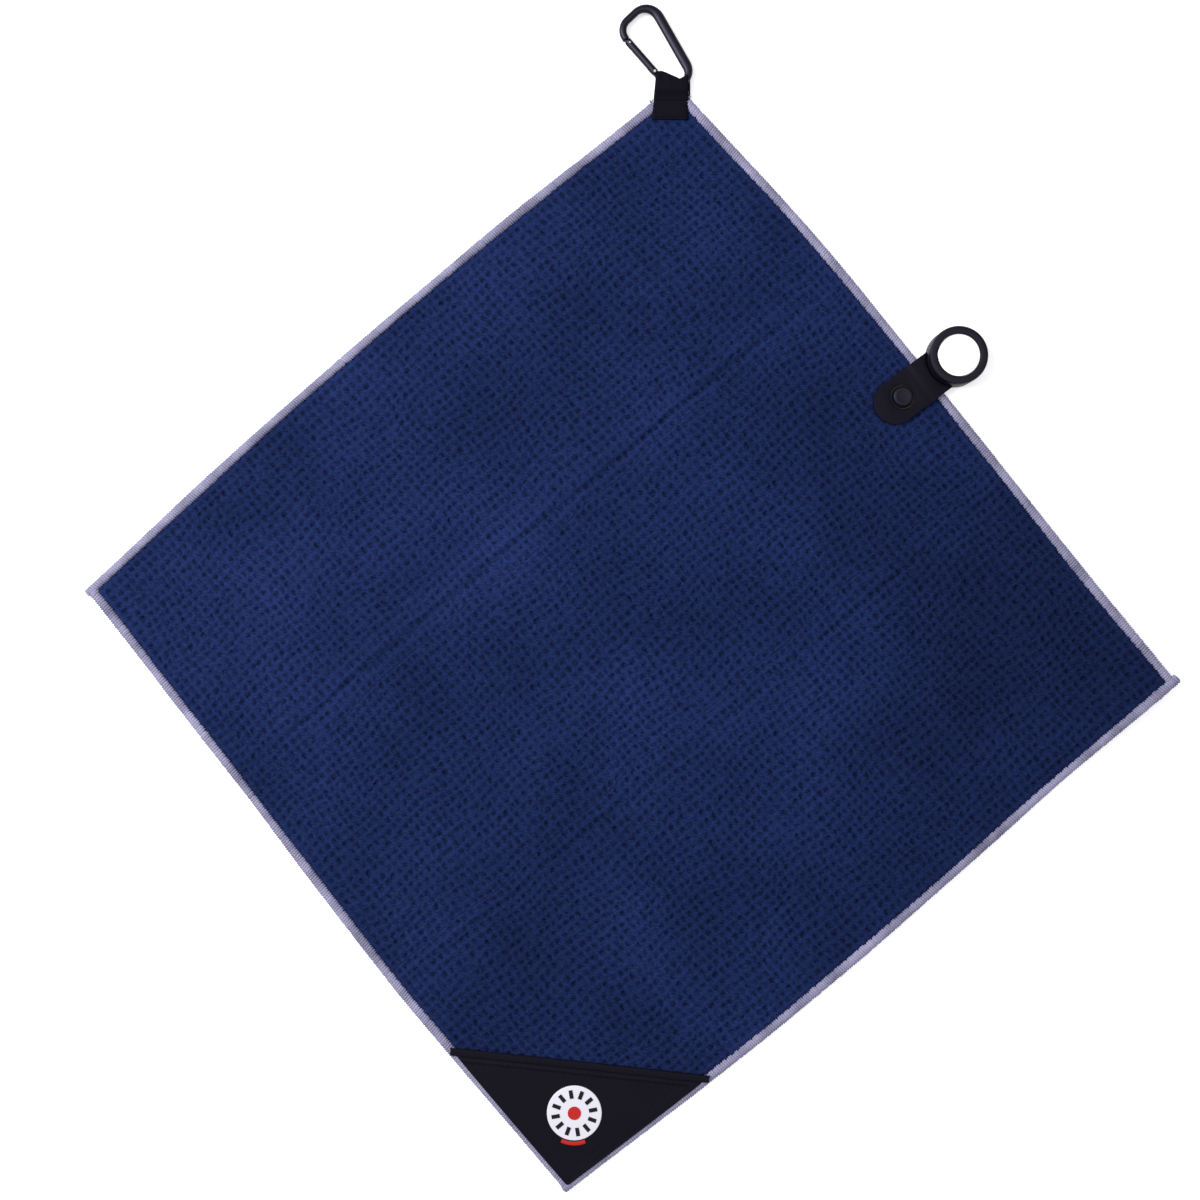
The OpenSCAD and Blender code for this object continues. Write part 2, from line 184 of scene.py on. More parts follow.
def tubeFrom(name, rings, along, around):
    # a closed tube through rings of points, with a pole at each end; its uv is the distance along and around
    count, sides = rings.shape[:2]
    i, j = np.meshgrid(np.arange(count - 1), np.arange(sides), indexing="ij")
    nextJ = (j + 1) % sides
    quads = np.stack([i * sides + j, i * sides + nextJ, (i + 1) * sides + nextJ, (i + 1) * sides + j], -1)
    uv = np.stack([
        np.stack([along[i], around[j]], -1), np.stack([along[i], around[j + 1]], -1),
        np.stack([along[i + 1], around[j + 1]], -1), np.stack([along[i + 1], around[j]], -1)], -2)
    poles = np.stack([rings[0].mean(0), rings[-1].mean(0)])
    points = np.concatenate([rings.reshape(-1, 3), poles])
    k = np.arange(sides)
    n = (k + 1) % sides
    last = (count - 1) * sides
    first = np.stack([np.full(sides, count * sides), n, k], -1)
    final = np.stack([np.full(sides, count * sides + 1), last + k, last + n], -1)
    return meshFrom(name, points, quads.reshape(-1, 4), np.concatenate([first, final]), uv)


def leftOf(line):
    # the flat direction to the left of each point of a line
    ahead = np.gradient(line, axis=0)
    ahead /= np.linalg.norm(ahead, axis=1)[:, None]
    return np.stack([-ahead[:, 1], ahead[:, 0]], -1)


def sheetFrom(name, grid, points, top, bottom):
    # a closed sheet with its top and bottom over the same grid of flat points, joined round their border
    height, width = grid
    i, j = np.meshgrid(np.arange(height - 1), np.arange(width - 1), indexing="ij")
    corner = (i * width + j).ravel()
    offset = width * height
    topFaces = np.stack([corner, corner + 1, corner + width + 1, corner + width], -1)
    lowFaces = np.stack([corner, corner + width, corner + width + 1, corner + 1], -1) + offset
    border = np.concatenate([
        np.arange(width - 1), np.arange(height - 1) * width + width - 1,
        (height - 1) * width + np.arange(width - 1, 0, -1), np.arange(height - 1, 0, -1) * width])
    following = np.roll(border, -1)
    rim = np.stack([border, border + offset, following + offset, following], -1)
    points = np.concatenate([np.column_stack([points, z]) for z in (top, bottom)])
    return meshFrom(name, points * mm, np.concatenate([topFaces, lowFaces, rim]))


def ripple(x, y, waves):
    # soft waves: each is (length in mm, direction in degrees, phase, height)
    total = np.zeros_like(x)
    for length, direction, phase, height in waves:
        a = math.radians(direction)
        total += height * np.sin((x * math.cos(a) + y * math.sin(a)) * 2 * math.pi / length + phase)
    return total


def softStep(value, low, high):
    t = np.clip((value - low) / (high - low), 0, 1)
    return t * t * (3 - 2 * t)


towel = {
    "side": 412.0,          # from edge to edge, over the edging
    # the loop's corner, then the right one, the pocket's and the left one
    "corners": [(208.0, 208.0), (207.0, -204.0), (-212.0, -206.0), (-203.0, 202.0)],
    "bows": [(5.2, 1.2), (5.2, -0.9), (3.2, 1.0), (5.4, 0.2)],      # how far each side bows out, and its lean
    "loopCrease": 75.0,     # heights of the creases along the towel's own Y
    "pocketCrease": -66.5,
    "crossCrease": 62.5,    # a faint crease across the others, along X
    "creaseReach": 6.0,     # on the real towel the cloth folds within this of a crease
    # each crease is a soft roll with a narrow groove in it: height and width of the roll, then of the groove
    "loopPress": (0.75, 11, 1.15, 1.7),
    "pocketPress": (0.35, 12, 0.55, 1.9),
    "crossPress": (0.25, 10, 0.4, 1.8),
    "lie": 1.25,            # how far the cloth stands off the floor between its waves
    "clipReach": 34,        # it lies flat this far from the clip and from the webbing
    "webbingReach": 38,
    "pocketReach": (92, 150),
    "waves": [(210, 62, 0.6, 0.55), (150, -25, 2.1, 0.45), (96, 100, 4.0, 0.26), (74, 20, 1.2, 0.16)],
    "rightLift": 6.5,       # the right corner stands this far off the floor
    "rightReach": 120.0,
}
towelAxes = turnAbout(0, 0, 0, 45)
webbingAxes = turnAbout(-1.2, 274.6, 0, 5.2)
clipAxes = towelAxes @ turnAbout(228.3, 1.8, 0, 177)
outlineCorners = [np.array(c) for c in towel["corners"]]


def sideNormal(i):
    d = outlineCorners[(i + 1) % 4] - outlineCorners[i % 4]
    d = d / np.linalg.norm(d)
    return np.array([-d[1], d[0]])


def insetCorner(i, inset):
    return outlineCorners[i % 4] - inset * (sideNormal(i) + sideNormal(i + 3))


def sidePoints(i, t, inset):
    a, c = towel["bows"][i]
    swell = a * np.sin(math.pi * t) + c * np.sin(2 * math.pi * t)
    line = insetCorner(i, inset) * (1 - t)[:, None] + insetCorner(i + 1, inset) * t[:, None]
    return line + sideNormal(i) * swell[:, None]


def patch(u, v, inset):
    # a sheet stretched between the four bowed sides; u runs along X and v along Y, both 0 to 1
    bottom = sidePoints(1, 1 - u, inset)
    top = sidePoints(3, u, inset)
    left = sidePoints(2, v, inset)
    right = sidePoints(0, 1 - v, inset)
    uu, vv = u[:, None], v[:, None]
    flat = (insetCorner(2, inset) * (1 - uu) * (1 - vv) + insetCorner(1, inset) * uu * (1 - vv)
            + insetCorner(3, inset) * (1 - uu) * vv + insetCorner(0, inset) * uu * vv)
    return bottom * (1 - vv) + top * vv + left * (1 - uu) + right * uu - flat


def inAxes(points, axes):
    # flat points in the towel's axes, seen from other axes
    turn = np.array(axes.inverted() @ towelAxes)
    return points @ turn[:2, :2].T + turn[:2, 3] / mm


def restHeight(points):
    # how far the cloth's underside stands off the floor
    x, y = points[:, 0], points[:, 1]
    lie = towel["lie"] + ripple(x, y, towel["waves"])
    quiet = np.ones_like(x)
    underClip = clipAxes @ turnAbout(30, 0, 0, 0)
    for axes, reach in ((underClip, towel["clipReach"]), (webbingAxes, towel["webbingReach"])):
        near = inAxes(points, axes)
        quiet *= softStep(np.hypot(near[:, 0], near[:, 1]), reach * 0.75, reach * 1.9)
    tip = outlineCorners[2]
    quiet *= softStep((x - tip[0]) + (y - tip[1]), *towel["pocketReach"])
    away = np.hypot(x - outlineCorners[1][0], y - outlineCorners[1][1])
    lift = towel["rightLift"] * (1 - softStep(away, 0, towel["rightReach"])) ** 1.5
    return np.maximum(lie, 0) * quiet + lift


def pressed(distance, roll, rollWidth, groove, grooveWidth):
    return roll * np.exp(-(distance / rollWidth) ** 2) - groove * np.exp(-(distance / grooveWidth) ** 2)


def creaseHeight(points):
    x, y = points[:, 0], points[:, 1]
    fadeLeft = 0.35 + 0.65 * softStep(190 - np.abs(x - 10), 0, 60)
    total = fadeLeft * pressed(y - towel["loopCrease"], *towel["loopPress"])
    total += pressed(y - towel["pocketCrease"], *towel["pocketPress"])
    below = softStep(towel["pocketCrease"] + 25 - y, 0, 30) * softStep(y + 180, 0, 40)
    total += below * pressed(x - towel["crossCrease"], *towel["crossPress"])
    return total


cloth = {
    "cells": (96, 88),      # waffles along X and Y, 4.3 by 4.7 mm each
    "thirds": (58, 32),     # the loop third starts at this row of waffles, and the middle third at this one
    "perCell": 4,           # faces across a waffle
    "inset": 2.2,           # the cloth's own edge lies inside the edging
    "thickness": 2.4,
    "pit": 1.05,            # depth of a waffle's pit on the front
    "backPit": 0.6,
    "wander": [(88, 30, 0.4, 1.1), (61, 115, 2.2, 0.8), (37, 70, 5.1, 0.4)],
    "stretch": 0.38,        # how much waffles differ in length and width
    "slip": 0.13,           # how far a waffle sits off its row, as a share of its width
    "unevenPit": 0.14,
    "unevenRib": 0.13,
    "strapWidth": 12.6,     # half the width and the reach of the cloth that the clip's straps press
    "strapReach": 52.4,
    "pressedTop": 2.36,
    "overStrap": 1.45,      # underside over the clip's back strap, and over the webbing's back leaf
    "overLeaf": 1.15,
    "ridge": "#1e2c5a",
    # painted shade: the pits and the crease grooves are drawn in this colour
    "paintedPitShade": "#071029",
    "yarnTurns": (32, -41),             # the short strokes of yarn lie these two ways, in degrees
    "yarnScale": (520, 1500, 900),      # and are about 2 mm long and 0.7 mm wide
}


def waffle(share):
    # 0 on a waffle's rib and 1 in the middle of its pit
    return np.sin(np.clip(share % 1, 0, 1) * math.pi) ** 1.7


def clothRows(name, firstRow, lastRow):
    cellsX, cellsY = cloth["cells"]
    n = cloth["perCell"]
    cols = np.arange(cellsX * n + 1)
    rows = np.arange(firstRow * n, lastRow * n + 1)
    rowGrid, colGrid = np.meshgrid(rows, cols, indexing="ij")
    a, b = colGrid.ravel() / n, rowGrid.ravel() / n
    seed = np.random.default_rng(5)
    depthNoise = seed.normal(0, 1, (cellsY + 2, cellsX + 2))
    slipX = seed.normal(0, 1, (cellsY + 2, cellsX + 2))
    slipY = seed.normal(0, 1, (cellsY + 2, cellsX + 2))
    ribNoise = seed.normal(0, 1, (cellsY * n + 1, cellsX * n + 1))[rowGrid.ravel(), colGrid.ravel()]
    ci, cj = np.minimum(a.astype(int), cellsX - 1), np.minimum(b.astype(int), cellsY - 1)
    edge = softStep(np.minimum(np.minimum(a, cellsX - a), np.minimum(b, cellsY - b)), 0, 3)
    # each waffle is drawn long one way or the other
    pull = np.clip(cloth["stretch"] * seed.normal(0, 1, (cellsY + 2, cellsX + 2)), -0.7, 0.7)[cj, ci]
    pitShape = waffle(a) ** (1 + pull) * waffle(b) ** (1 - pull)
    # odd waffles sit a little off their row, as loose yarns do
    u = (a + edge * cloth["slip"] * slipX[cj, ci] * pitShape) / cellsX
    v = (b + edge * cloth["slip"] * slipY[cj, ci] * pitShape) / cellsY
    points = patch(np.clip(u, 0, 1), np.clip(v, 0, 1), cloth["inset"])
    wanderX = ripple(points[:, 0], points[:, 1], cloth["wander"])
    wanderY = ripple(points[:, 1], points[:, 0], cloth["wander"])
    points = points + np.stack([wanderX, wanderY], -1) * (edge ** 2)[:, None]
    pit = pitShape * (1 + cloth["unevenPit"] * depthNoise[cj, ci]) + cloth["unevenRib"] * ribNoise * edge
    pit = np.clip(pit, -0.14, 1.2)
    back = waffle(a + 0.5) * waffle(b + 0.5)
    base = restHeight(points) + creaseHeight(points) * edge
    top = base + cloth["thickness"] - cloth["pit"] * pit
    bottom = base + cloth["backPit"] * back
    # pressed thin between the clip's straps and between the webbing's leaves
    clipPoint = inAxes(points, clipAxes)
    strap = softStep(cloth["strapWidth"] - np.abs(clipPoint[:, 1]), 0, 1.2)
    strap = strap * softStep(cloth["strapReach"] - clipPoint[:, 0], 0, 1.2)
    webPoint = inAxes(points, webbingAxes)
    leaf = softStep(10.6 - np.abs(webPoint[:, 0]), 0, 1) * softStep(webPoint[:, 1], -1.2, 0)
    bottom = bottom * (1 - strap) + cloth["overStrap"] * strap
    bottom = bottom * (1 - leaf) + cloth["overLeaf"] * leaf
    flattened = np.maximum(strap, leaf)
    top = top * (1 - flattened) + np.minimum(top, cloth["pressedTop"]) * flattened
    # the corner is tucked under the webbing
    over = np.maximum(webPoint[:, 1] - 9, 0)
    tuck = np.array((towelAxes.inverted() @ webbingAxes).to_3x3() @ Vector((0, 1, 0)))[:2]
    points = points - tuck * (over * 0.92)[:, None]
    top = np.where(over > 0, np.minimum(top, 2.3), top)
    base = np.maximum(bottom, 0.02)
    top = np.maximum(top, base + 0.5)
    piece = sheetFrom(name, (len(rows), len(cols)), points, top, base)
    # for the colour: how deep each point lies in its waffle, painted as shade in the pits, with a painted
    # shade line along each crease groove and painted light on the roll beside it
    depth = piece.data.attributes.new("pitDepthAndPaintedShade", "FLOAT", "POINT")
    crease = creaseHeight(points)
    # painted shade along each crease groove and painted light on the roll beside it
    shade = np.where(crease < 0, -crease * 0.75, -crease * 0.3)
    depth.data.foreach_set("value", np.concatenate([pit + shade, back]).astype(np.float32))
    place(piece, towelAxes)
    return piece


def navyWaffleMicrofibre():
    # dyed microfibre waffle: matt, with painted shade in the pits and along the crease grooves, and short
    # fuzzy yarns that catch the light
    material, shader, where = newMaterial("navyWaffleMicrofibre")
    depth = addNode(material, "Attribute", output="Fac", attribute_name="pitDepthAndPaintedShade")
    strokes = []
    for turn in cloth["yarnTurns"]:
        lay = addNode(material, "Mapping", {
            "Vector": where, "Rotation": (0, 0, math.radians(turn)), "Scale": cloth["yarnScale"]})
        strokes.append(addNode(material, "TexNoise", {
            "Vector": lay, "Scale": 1, "Detail": 2, "Roughness": 0.6}, "Fac"))
    yarn = addNode(material, "Math", {0: strokes[0], 1: strokes[1]}, operation="MINIMUM")
    spread = addNode(material, "MapRange", {"Value": yarn, "From Min": 0.34, "From Max": 0.56})
    mixed = addNode(material, "Math", {0: spread, 1: 0.95, 2: depth}, operation="MULTIPLY_ADD")
    tone = addNode(material, "MapRange", {"Value": mixed, "From Min": 0.1, "From Max": 1.6})
    # painted shade: the deeper a point lies, the nearer its colour comes to the pit colour
    body = addNode(material, "Mix", {
        "Factor": tone, "A": linear(cloth["ridge"]), "B": linear(cloth["paintedPitShade"])}, "Result",
        data_type="RGBA")
    # broad soft patches where the nap is brushed one way or the other, 60 to 120 mm across
    brushed = addNode(material, "TexNoise", {"Vector": where, "Scale": 13, "Detail": 2}, "Fac")
    patchTone = addNode(material, "MapRange", {
        "Value": brushed, "From Min": 0.3, "From Max": 0.7, "To Min": 0.78, "To Max": 1.2})
    # painted shade: the colour darkens towards the right corner, where less light falls
    across = addNode(material, "SeparateXYZ", {"Vector": where}, "X")
    paintedFalloffShade = addNode(material, "MapRange", {
        "Value": across, "From Min": 0.06, "From Max": 0.27, "To Min": 0.96, "To Max": 0.68},
        interpolation_type="SMOOTHSTEP")
    # random patches of tone times the painted shade towards the right corner
    toneAndPaintedShade = addNode(material, "Math", {0: patchTone, 1: paintedFalloffShade}, operation="MULTIPLY")
    shade = addNode(material, "VectorMath", {0: body, "Scale": toneAndPaintedShade}, operation="SCALE")
    # fibres drawn coarser than real ones so that they show
    fibre = addNode(material, "TexNoise", {"Vector": where, "Scale": 1500, "Detail": 2}, "Fac")
    bump = addNode(material, "Bump", {"Height": fibre, "Strength": 0.7, "Distance": 0.25 * mm})
    setSockets(material, shader, {
        "Base Color": shade, "Roughness": 0.92, "Specular IOR Level": 0.05, "Normal": bump})
    return material


print("weaving the cloth")
clothMaterial = navyWaffleMicrofibre()
loopCloth = clothRows("waffleClothLoop", cloth["thirds"][0], cloth["cells"][1])
middleCloth = clothRows("waffleClothMiddle", cloth["thirds"][1], cloth["thirds"][0])
pocketCloth = clothRows("waffleClothPocket", 0, cloth["thirds"][1])
for piece in (loopCloth, middleCloth, pocketCloth):
    dress(piece, clothMaterial)
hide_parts("cloth_loop_third")
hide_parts("cloth_middle_third")
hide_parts("cloth_pocket_third")


def bendAtCrease(piece):
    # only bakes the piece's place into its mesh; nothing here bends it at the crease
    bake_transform(piece)


bendAtCrease(loopCloth)
bendAtCrease(pocketCloth)
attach(middleCloth, "middle_third")

edging = {
    "inset": 2.3,           # middle of the bead, inside the outline
    "halfWidth": 2.35,
    "halfHeight": 1.6,
    "pitch": 1.35,          # from one wrap of thread to the next
    "perPitch": 6,
    "sides": 14,
    "slant": 0.9,           # how far a wrap leans over the bead, in radians of its pitch
    "overhang": 1.4,        # the blunt ends stand this far past the corner
    "plyPitch": 0.34,       # fine plies, four to a wrap
    "stopLeft": 14.6,       # the beads stop under the webbing, this far short of the corner on each side
    "stopRight": 9.4,
    "girth": 12.5,          # round the bead, for its uv
    "thread": "#a7a4c2",
    "shadowThread": "#525268",
}
wrapNoise = np.random.default_rng(8).normal(0, 1, (4, 2000))


def edgingBead(name, side, startT, endT, squeezeStart=False, squeezeEnd=False, freeEnds=(False, False)):
    # the thread-wrapped bead along one side of the towel between two shares of its length
    length = np.linalg.norm(outlineCorners[(side + 1) % 4] - outlineCorners[side])
    step = edging["pitch"] / edging["perPitch"]
    first, last = round(startT * length / step), round(endT * length / step)
    at = np.arange(first, last + 1) * step
    centre = sidePoints(side, at / length, edging["inset"])
    outward = leftOf(centre)
    lift = restHeight(centre)
    sides = edging["sides"]
    angle = np.arange(sides) / sides * 2 * math.pi - math.pi / 2
    out = np.cos(angle)
    up = np.sin(angle)
    phase = 2 * math.pi * at[:, None] / edging["pitch"] + edging["slant"] * out * 2
    wrap = np.floor(phase / (2 * math.pi)).astype(int) + 400
    jitter = wrapNoise[side][np.clip(wrap, 0, 1999)]
    ridge = 1 + 0.09 * np.cos(phase)
    swell = 1 + 0.05 * np.sin(at / 17 + side) + 0.05 * np.sin(at / 41 + 2 * side)
    uneven = np.where(out < 0, 1 + 0.05 * jitter, 1 + 0.03 * jitter)
    wide = edging["halfWidth"] * swell[:, None] * ridge * uneven
    tall = np.full_like(wide, edging["halfHeight"]) * (1 + 0.1 * np.cos(phase) + 0.04 * jitter)
    middle = np.full(len(at), edging["halfHeight"])
    # the bead is pressed flat where a strap or the webbing holds it
    near = inAxes(centre, clipAxes)
    held = 0 * at
    if side == 0:
        held = softStep(12.4 - np.abs(near[:, 1]), 0, 1.5) * softStep(30 - near[:, 0], 0, 2)
    for squeeze, distance in ((squeezeStart, at - at[0]), (squeezeEnd, at[-1] - at)):
        if squeeze:
            held = np.maximum(held, 1 - softStep(distance, 1.2, 3.6))
    tall = tall * (1 - 0.46 * held)[:, None]
    middle = middle + held * 0.72
    # blunt rounded ends
    end = np.minimum(np.where(freeEnds[0], at - at[0], 99), np.where(freeEnds[1], at[-1] - at, 99))
    blunt = np.sqrt(np.clip(1 - np.clip(1 - end / 1.1, 0, 1) ** 2, 0.02, 1))
    wide, tall = wide * blunt[:, None], tall * blunt[:, None]
    flat = centre[:, None, :] + outward[:, None, :] * (wide * out)[:, :, None]
    z = (lift + middle)[:, None] + tall * up
    rings = np.concatenate([flat, np.maximum(z, 0.01)[:, :, None]], -1) * mm
    piece = tubeFrom(name, rings, at, np.arange(sides + 1) * edging["girth"] / sides)
    # 0 on top of a wrap of thread and 1 in the groove beside it, where the thread gets painted shade
    groove = piece.data.attributes.new("groove", "FLOAT", "POINT")
    groove.data.foreach_set("value", np.append(0.5 - 0.5 * np.cos(phase), (0, 0)).astype(np.float32))
    place(piece, towelAxes)
    faceOutward(piece)
    return piece


def overlockThread():
    # spun polyester thread wrapped over the edge: matt, soft, with fine plies running across the bead and
    # painted shade in the grooves between wraps
    material, shader, where = newMaterial("overlockPolyesterThread")
    uv = addNode(material, "UVMap", uv_map="mm")
    along = addNode(material, "SeparateXYZ", {"Vector": uv}, "X")
    angle = addNode(material, "Math", {0: along, 1: 2 * math.pi / edging["plyPitch"]}, operation="MULTIPLY")
    plies = addNode(material, "Math", {0: angle}, operation="SINE")
    fuzz = addNode(material, "TexNoise", {"Vector": where, "Scale": 1400, "Detail": 2}, "Fac")
    stain = addNode(material, "TexNoise", {"Vector": where, "Scale": 60, "Detail": 3}, "Fac")
    tone = addNode(material, "Math", {0: fuzz, 1: 0.5, 2: stain}, operation="MULTIPLY_ADD")
    groove = addNode(material, "Attribute", output="Fac", attribute_name="groove")
    # painted shade: the grooves between wraps are drawn towards the darker thread colour, over the thread's
    # random tone
    paintedGrooveShadeAndTone = addNode(material, "Math", {0: groove, 1: -0.3, 2: tone}, operation="MULTIPLY_ADD")
    share = addNode(material, "MapRange", {"Value": paintedGrooveShadeAndTone, "From Min": 0.2, "From Max": 0.95})
    colour = addNode(material, "Mix", {
        "Factor": share, "A": linear(edging["shadowThread"]), "B": linear(edging["thread"])}, "Result",
        data_type="RGBA")
    height = addNode(material, "Math", {0: plies, 1: 0.4, 2: fuzz}, operation="MULTIPLY_ADD")
    bump = addNode(material, "Bump", {"Height": height, "Strength": 0.6, "Distance": 0.12 * mm})
    setSockets(material, shader, {
        "Base Color": colour, "Roughness": 0.8, "Specular IOR Level": 0.15, "Normal": bump})
    return material


print("overlocking the edges")
threadMaterial = overlockThread()
over = (edging["inset"] + edging["overhang"]) / towel["side"]
stopLeft = edging["stopLeft"] / towel["side"]
stopRight = edging["stopRight"] / towel["side"]


def shareAtRow(side, row):
    # where a row of waffles meets a side, as a share of the side
    v = row / cloth["cells"][1]
    return 1 - v if side == 0 else v


loopRow, pocketRow = cloth["thirds"]
beads = [
    # name, side, where it starts and ends, and how its ends are finished
    ("edgingUpperLeft", 3, -over, 1 - stopLeft, {"squeezeEnd": True, "freeEnds": (True, False)}),
    ("edgingLowerRight", 1, -over * 1.2, 1 + over * 0.8, {"freeEnds": (True, True)}),
    ("edgingRightLoop", 0, stopRight, shareAtRow(0, loopRow), {"squeezeStart": True}),
    ("edgingRightMiddle", 0, shareAtRow(0, loopRow), shareAtRow(0, pocketRow), {}),
    ("edgingRightPocket", 0, shareAtRow(0, pocketRow), 1.0, {}),
    ("edgingLeftPocket", 2, 0.0, shareAtRow(2, pocketRow), {}),
    ("edgingLeftMiddle", 2, shareAtRow(2, pocketRow), shareAtRow(2, loopRow), {}),
    ("edgingLeftLoop", 2, shareAtRow(2, loopRow), 1.0, {}),
]
edgingPieces = {name: edgingBead(name, side, start, end, **ends) for name, side, start, end, ends in beads}
for piece in edgingPieces.values():
    dress(piece, threadMaterial)
for name, third in (("edgingUpperLeft", "loop_third"), ("edgingLowerRight", "pocket_third"),
                    ("edgingRightMiddle", "middle_third"), ("edgingLeftMiddle", "middle_third")):
    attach(edgingPieces[name], third)
for name, third in (("edgingRightLoop", "loop_third"), ("edgingLeftLoop", "loop_third"),
                    ("edgingRightPocket", "pocket_third"), ("edgingLeftPocket", "pocket_third")):
    bendAtCrease(edgingPieces[name])
for name, node in (("edgingUpperLeft", "edging_loop_third"), ("edgingRightMiddle", "edging_middle_third"),
                   ("edgingLowerRight", "edging_pocket_third")):
    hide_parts(node)

webbing = {
    "flatWidth": 19.0,      # as it is sold
    "halfWidth": 9.6,
    "narrowing": 1.1,       # each side comes in by this much at the eye
    "thickness": 1.1,
    "across": 15,           # points across the webbing
    "step": 0.4,
    # the middle of the webbing from its sewn end over the rod, round the fold and back under the cloth
    "path": [(0.0, 2.98), (10.4, 2.98), (12.4, 3.7), (15.0, 5.6), (17.6, 6.2), (22.2, 6.1), (24.6, 5.0),
             (25.2, 3.4), (24.6, 1.7), (22.0, 0.62), (12.0, 0.6), (0.6, 0.6)],
    # how far the fold drops across its width, left to right, where it bunches round the rod
    "foldAt": [-1.0, -0.75, -0.1, 0.45, 0.85, 1.0],
    "foldDrop": [-0.6, 0.0, -2.1, -4.4, -2.3, -1.6],
    "ribPitch": 0.95,       # ribs along the webbing
    "yarnPitch": 0.8,       # yarns across it
    "bendFrom": 10.2,       # on the real towel the loop bends up and down between these distances from its sewn end
    "bendTo": 15.2,
    "yarn": "#100e18",
    "shadowYarn": "#08060e",
}


def webbingLoop():
    corners = np.array(webbing["path"])
    run = np.concatenate([[0], np.cumsum(np.linalg.norm(np.diff(corners, axis=0), axis=1))])
    at = np.arange(0, run[-1], webbing["step"])
    line = np.stack([np.interp(at, run, corners[:, k]) for k in (0, 1)], -1)
    for _ in range(3):      # rounds the bends off
        line[1:-1] = (line[:-2] + 2 * line[1:-1] + line[2:]) / 4
    outward = leftOf(line)
    share = np.linspace(-1, 1, webbing["across"])
    # a rounded band: across its face, then back across its other face
    a = np.concatenate([share, share[::-1]])
    face = np.concatenate([np.ones_like(share), -np.ones_like(share)]) * (1 - 0.7 * np.abs(a) ** 14)
    up = np.clip(line[:, 0] / 25, 0, 1)[:, None]
    isBack = softStep(at, run[6], run[8])[:, None]
    x = a * (webbing["halfWidth"] - webbing["narrowing"] * up) + webbing["narrowing"] * up + 1.3 * isBack
    rib = 0.035 * np.sin(at / webbing["ribPitch"] * 2 * math.pi)[:, None]
    offset = (webbing["thickness"] / 2 + rib) * face
    drop = np.interp(a, webbing["foldAt"], webbing["foldDrop"])
    bunch = softStep(line[:, 0], 17.5, 25)[:, None] * drop
    crumple = 0.22 * np.sin(a * 9 + at[:, None] * 0.45) * softStep(line[:, 0], 15, 22)[:, None]
    y = line[:, 0][:, None] + offset * outward[:, 0][:, None] + bunch
    z = line[:, 1][:, None] + offset * outward[:, 1][:, None] + crumple
    rings = np.stack([x, y, np.maximum(z, 0.02)], -1) * mm
    around = np.concatenate([a[:len(share)], 2 + share, [3.1]]) * webbing["halfWidth"]
    piece = tubeFrom("webbingLoop", rings, at, around)
    place(piece, webbingAxes)
    return piece, float(run[-1])


def wovenNylonWebbing():
    # woven nylon webbing: near black and matt, with fine ribs across and yarns along
    material, shader, where = newMaterial("wovenNylonWebbing")
    uv = addNode(material, "UVMap", uv_map="mm")
    waves = []
    for axis, pitch in (("X", webbing["ribPitch"]), ("Y", webbing["yarnPitch"])):
        distance = addNode(material, "SeparateXYZ", {"Vector": uv}, axis)
        angle = addNode(material, "Math", {0: distance, 1: 2 * math.pi / pitch}, operation="MULTIPLY")
        waves.append(addNode(material, "Math", {0: angle}, operation="SINE"))
    weave = addNode(material, "Math", {0: waves[0], 1: waves[1]}, operation="MULTIPLY")
    fuzz = addNode(material, "TexNoise", {"Vector": where, "Scale": 1100, "Detail": 3}, "Fac")
    tone = addNode(material, "Math", {0: weave, 1: 0.35, 2: fuzz}, operation="MULTIPLY_ADD")
    colour = addNode(material, "Mix", {
        "Factor": tone, "A": linear(webbing["shadowYarn"]), "B": linear(webbing["yarn"])}, "Result",
        data_type="RGBA")
    bump = addNode(material, "Bump", {"Height": tone, "Strength": 0.7, "Distance": 0.15 * mm})
    setSockets(material, shader, {
        "Base Color": colour, "Roughness": 0.8, "Specular IOR Level": 0.08, "Normal": bump})
    return material


print("sewing the webbing loop")
loop, loopLength = webbingLoop()
dress(loop, wovenNylonWebbing())
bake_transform(loop)
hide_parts("webbing_front", "webbing_back", "webbing_eye")

fray = {
    # name, where, which way the strands point, how many there are, how far they fan out, and the seed
    "ends": [("edgingFrayLeft", (-11.6, 282.6), 105, 15, 30, 3),
             ("edgingFrayRight", (6.9, 287.4), 70, 11, 26, 4)],
    "height": 2.2,
    "scatter": 0.45,
    "radius": 0.17,
    "sides": 5,
}


def frayedEnds(name, at, direction, count, spread, seed):
    # cut thread ends that stick out where the edging meets the webbing
    random = np.random.default_rng(seed)
    strands = []
    for k in range(count):
        turn = math.radians(direction + random.normal(0, spread))
        reach, rise = random.uniform(1.0, 2.6), random.uniform(0.1, 1.2)
        start = np.array([*at, fray["height"]]) + random.normal(0, fray["scatter"], 3) * np.array([1, 1, 0.5])
        t = np.linspace(0, 1, 7)
        bend = random.normal(0, 0.5)
        line = start + np.stack([t * reach * math.cos(turn) - bend * t * t * math.sin(turn),
                                 t * reach * math.sin(turn) + bend * t * t * math.cos(turn),
                                 rise * t], -1)
        angle = np.arange(fray["sides"]) / fray["sides"] * 2 * math.pi
        radius = fray["radius"] * (1 - 0.55 * t)
        across = np.array([-math.sin(turn), math.cos(turn), 0])
        ring = (np.cos(angle)[:, None] * across + np.sin(angle)[:, None] * np.array([0, 0, 1]))
        rings = line[:, None, :] + radius[:, None, None] * ring[None]
        strands.append(tubeFrom(f"{name}Strand{k}", rings * mm, t, np.linspace(0, 1, fray["sides"] + 1)))
    return joined(name, strands)


for name, *settings in fray["ends"]:
    piece = frayedEnds(name, *settings)
    dress(piece, threadMaterial)
    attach(piece, "loop_third")

